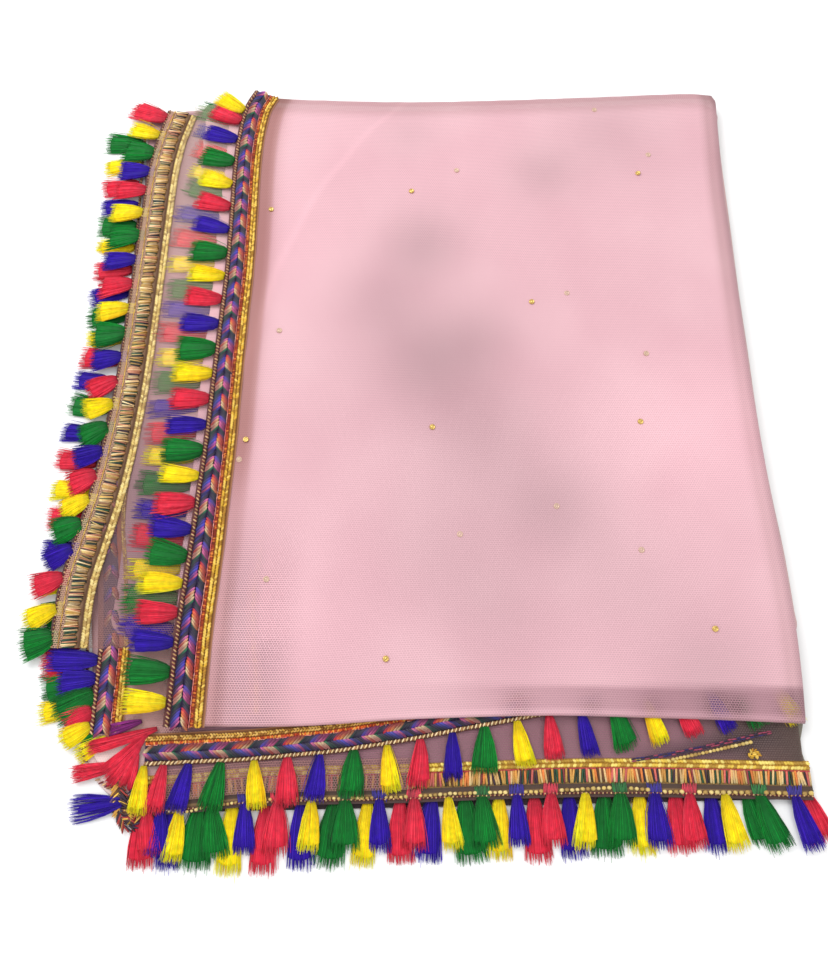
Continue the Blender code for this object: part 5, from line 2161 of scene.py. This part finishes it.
# ---- operators -----------------------------------------------------------------------------------
class STOLE_OT_inner_layers(bpy.types.Operator):
    """Make the stack of folded layers"""

    bl_idname = "stole.inner_layers"
    bl_label = "Inner layers"

    def execute(self, context):
        piece = make_inner_layers(context.scene.stole_cloth)
        finish_piece(piece, "net", "folded_layers")
        return {"FINISHED"}


class STOLE_OT_net_panels(bpy.types.Operator):
    """Make the net panels that show"""

    bl_idname = "stole.net_panels"
    bl_label = "Net panels"

    def execute(self, context):
        cloth = context.scene.stole_cloth
        top = make_net_top(cloth)
        second = make_net_second(cloth)
        third, end, flap = [make_flat_net(cloth, *row) for row in FLAT_NETS]
        return {"FINISHED"}


class STOLE_OT_cords(bpy.types.Operator):
    """Make the gold cords along the inner side of the borders"""

    bl_idname = "stole.cords"
    bl_label = "Cords"

    def execute(self, context):
        for label, slot, *shape, dull in CORDS:
            cord = make_chain_cord(label, *shape, dull)
            nodes = () if dull else (f"{slot}_{label}",)
            finish_piece(cord, slot, *nodes)
        return {"FINISHED"}


class STOLE_OT_chevron_braids(bpy.types.Operator):
    """Make the chevron braids on the right side of the borders"""

    bl_idname = "stole.chevron_braids"
    bl_label = "Chevron braids"

    def execute(self, context):
        pitch = context.scene.stole_trim.braid_pitch / MM
        for braid in BRAIDS:
            make_chevron_braid(*braid, pitch)
        return {"FINISHED"}


class STOLE_OT_ribbed_bands(bpy.types.Operator):
    """Make the ribbed bands on the wrong side of the borders"""

    bl_idname = "stole.ribbed_bands"
    bl_label = "Ribbed bands"

    def execute(self, context):
        cloth = context.scene.stole_cloth
        for band in RIBBED_BANDS:
            make_ribbed_band(*band)
        # a near-black strip that is only painted shadow among the lowest tassels
        lowest = make_ground("painted_shadow_end_lowest", BORDERS["end_lowest"], LOWEST_SHADOW_BAND, lift=0.7)
        zone = make_mesh_zone("mesh_second_left", BORDERS["second_left"], cloth, *MESH_ZONE)
        line = make_thread_line(
            "gold_line_second_left", BORDERS["second_left"], 18.2, GOLD_COLOURS, 87, 1.3, thick=0.9
        )
        for piece in (lowest, zone, line):
            finish_piece(piece, "ribbed_band")
        make_root_patches("second_left", 17.4, 23.6, 83, 0.65, letters="BGRY", blend=0.35)
        make_root_patches("end_lower", 15.5, 24.5, 84, 0.9)
        finish_piece(make_bead_row("end_lower", 85, 0.9), "ribbed_band")
        hidden = Border(HIDDEN_LINE, level(5.6))
        for lateral, seed in HIDDEN_LINES:
            line = make_thread_line(
                f"hidden_line_{seed}", hidden, lateral, HIDDEN_LINE_COLOURS, seed, 0.2, thick=1.2
            )
            finish_piece(line, "ribbed_band")
        clump = make_curl("gold_clump", GOLD_CLUMP, 4.0, GOLD_COLOURS, "zari", 88)
        finish_piece(clump, "ribbed_band")
        finish_piece(make_hidden_beads("beads_hidden", 86), "ribbed_band")
        return {"FINISHED"}


class STOLE_OT_crochet_edges(bpy.types.Operator):
    """Make the crocheted ropes that carry the tassels"""

    bl_idname = "stole.crochet_edges"
    bl_label = "Crochet edges"

    def execute(self, context):
        for rope in ROPES:
            finish_piece(make_rope(*rope), "tassel_thread", "tassel_edge_" + rope[0])
        curl = make_curl("crochet_curl", LOOSE_CURL, 9.5, CURL_COLOURS, "crochet", 99)
        finish_piece(curl, "tassel_thread")
        return {"FINISHED"}


class STOLE_OT_tassel_rows(bpy.types.Operator):
    """Make every row of tassels"""

    bl_idname = "stole.tassel_rows"
    bl_label = "Tassel rows"

    def execute(self, context):
        trim = context.scene.stole_trim
        width = trim.strand_width / MM
        for seed, label in enumerate(TASSEL_ROWS, start=200):
            brushes = row_brushes(label, np.random.default_rng(seed + 50))
            count = HIDDEN_ROW_STRANDS if label in HIDDEN_ROWS else trim.strands
            make_tassels(label, brushes, count, width, seed)
        loose = loose_brushes(LOOSE_TASSELS, DROP)
        make_tassels("corner", loose, CORNER_STRANDS, width, 260, fill=0.35, parting=0.95)
        return {"FINISHED"}


class STOLE_OT_studs(bpy.types.Operator):
    """Make the studs on the net"""

    bl_idname = "stole.studs"
    bl_label = "Studs"

    def execute(self, context):
        size = context.scene.stole_trim.stud_size
        metal = stud_material("gold stud", (0.36, 0.20, 0.04), (0.83, 0.60, 0.20), 0.85)
        dim = stud_material("veiled stud", (0.48, 0.30, 0.26), (0.70, 0.52, 0.34), 0.2)
        finish_piece(make_studs("studs_top", STUDS_ON_TOP, 0.5, size, metal, 301), "gold_cord")
        finish_piece(make_studs("studs_below", STUDS_BELOW, 0.05, size, dim, 302), "gold_cord")
        return {"FINISHED"}


CAMERA_PLACE = (-62.7, -65.8, 650.0)
CAMERA_TILT, CAMERA_TURN = 21.08, 0.557
CAMERA_LENS = 32.77
FLOOR_SIZE, WORLD_STRENGTH = 8.0, 0.86
LIGHTS = (
    # name, place and size in metres, energy in watts
    ("key light", (-0.9, 0.9, 1.5), 1.2, 21.0),
    ("fill light", (0.9, -0.5, 1.6), 1.6, 6.0),
)


class STOLE_OT_stage(bpy.types.Operator):
    """Make the floor, the lights and the camera"""

    bl_idname = "stole.stage"
    bl_label = "Stage"

    def execute(self, context):
        scene = context.scene
        scene.view_settings.view_transform = "Standard"
        bpy.ops.object.select_all(action="DESELECT")
        bpy.ops.mesh.primitive_plane_add(size=FLOOR_SIZE)
        floor = context.object
        floor.name = "floor"
        floor.data.materials.append(floor_material("pale floor"))
        world = bpy.data.worlds.new("soft room")
        world.use_nodes = True
        background = world.node_tree.nodes["Background"]
        background.inputs["Color"].default_value = (1.0, 1.0, 1.0, 1.0)
        background.inputs["Strength"].default_value = WORLD_STRENGTH
        scene.world = world
        for name, place, size, energy in LIGHTS:
            bpy.ops.object.light_add(type="AREA", location=place)
            light = context.object
            light.name = name
            light.data.size = size
            light.data.energy = energy
            light.rotation_euler = (-light.location).to_track_quat("-Z", "Y").to_euler()
        place = np.array(CAMERA_PLACE) * MM + LAYOUT_ORIGIN
        bpy.ops.object.camera_add(
            location=place, rotation=(math.radians(CAMERA_TILT), 0.0, math.radians(CAMERA_TURN))
        )
        camera = context.object
        camera.data.lens = CAMERA_LENS
        camera.data.sensor_width = 36.0
        camera.data.clip_start, camera.data.clip_end = 0.01, 20.0
        scene.camera = camera
        return {"FINISHED"}


class STOLE_PT_panel(bpy.types.Panel):
    """Lists the steps in the order they are made"""

    bl_idname = "STOLE_PT_panel"
    bl_label = "Folded dupatta"
    bl_space_type = "VIEW_3D"
    bl_region_type = "UI"
    bl_category = "Stole"

    def draw(self, context):
        column = self.layout.column()
        for operator in STEPS:
            column.operator(operator.bl_idname)
        for group in (context.scene.stole_cloth, context.scene.stole_trim):
            for key in type(group).__annotations__:
                column.prop(group, key)


STEPS = (
    STOLE_OT_inner_layers,
    STOLE_OT_net_panels,
    STOLE_OT_cords,
    STOLE_OT_chevron_braids,
    STOLE_OT_ribbed_bands,
    STOLE_OT_crochet_edges,
    STOLE_OT_tassel_rows,
    STOLE_OT_studs,
    STOLE_OT_stage,
)


def register():
    for group in (StoleCloth, StoleTrim):
        bpy.utils.register_class(group)
    for operator in STEPS:
        bpy.utils.register_class(operator)
    bpy.utils.register_class(STOLE_PT_panel)
    bpy.types.Scene.stole_cloth = bpy.props.PointerProperty(type=StoleCloth)
    bpy.types.Scene.stole_trim = bpy.props.PointerProperty(type=StoleTrim)


def unregister():
    del bpy.types.Scene.stole_cloth
    del bpy.types.Scene.stole_trim
    bpy.utils.unregister_class(STOLE_PT_panel)
    for operator in reversed(STEPS):
        bpy.utils.unregister_class(operator)
    for group in (StoleTrim, StoleCloth):
        bpy.utils.unregister_class(group)


def main():
    register()
    prepare_shapes()
    prepare_materials()
    for operator in STEPS:
        group, step = operator.bl_idname.split(".")
        getattr(getattr(bpy.ops, group), step)()
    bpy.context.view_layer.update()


if __name__ == "__main__":
    main()
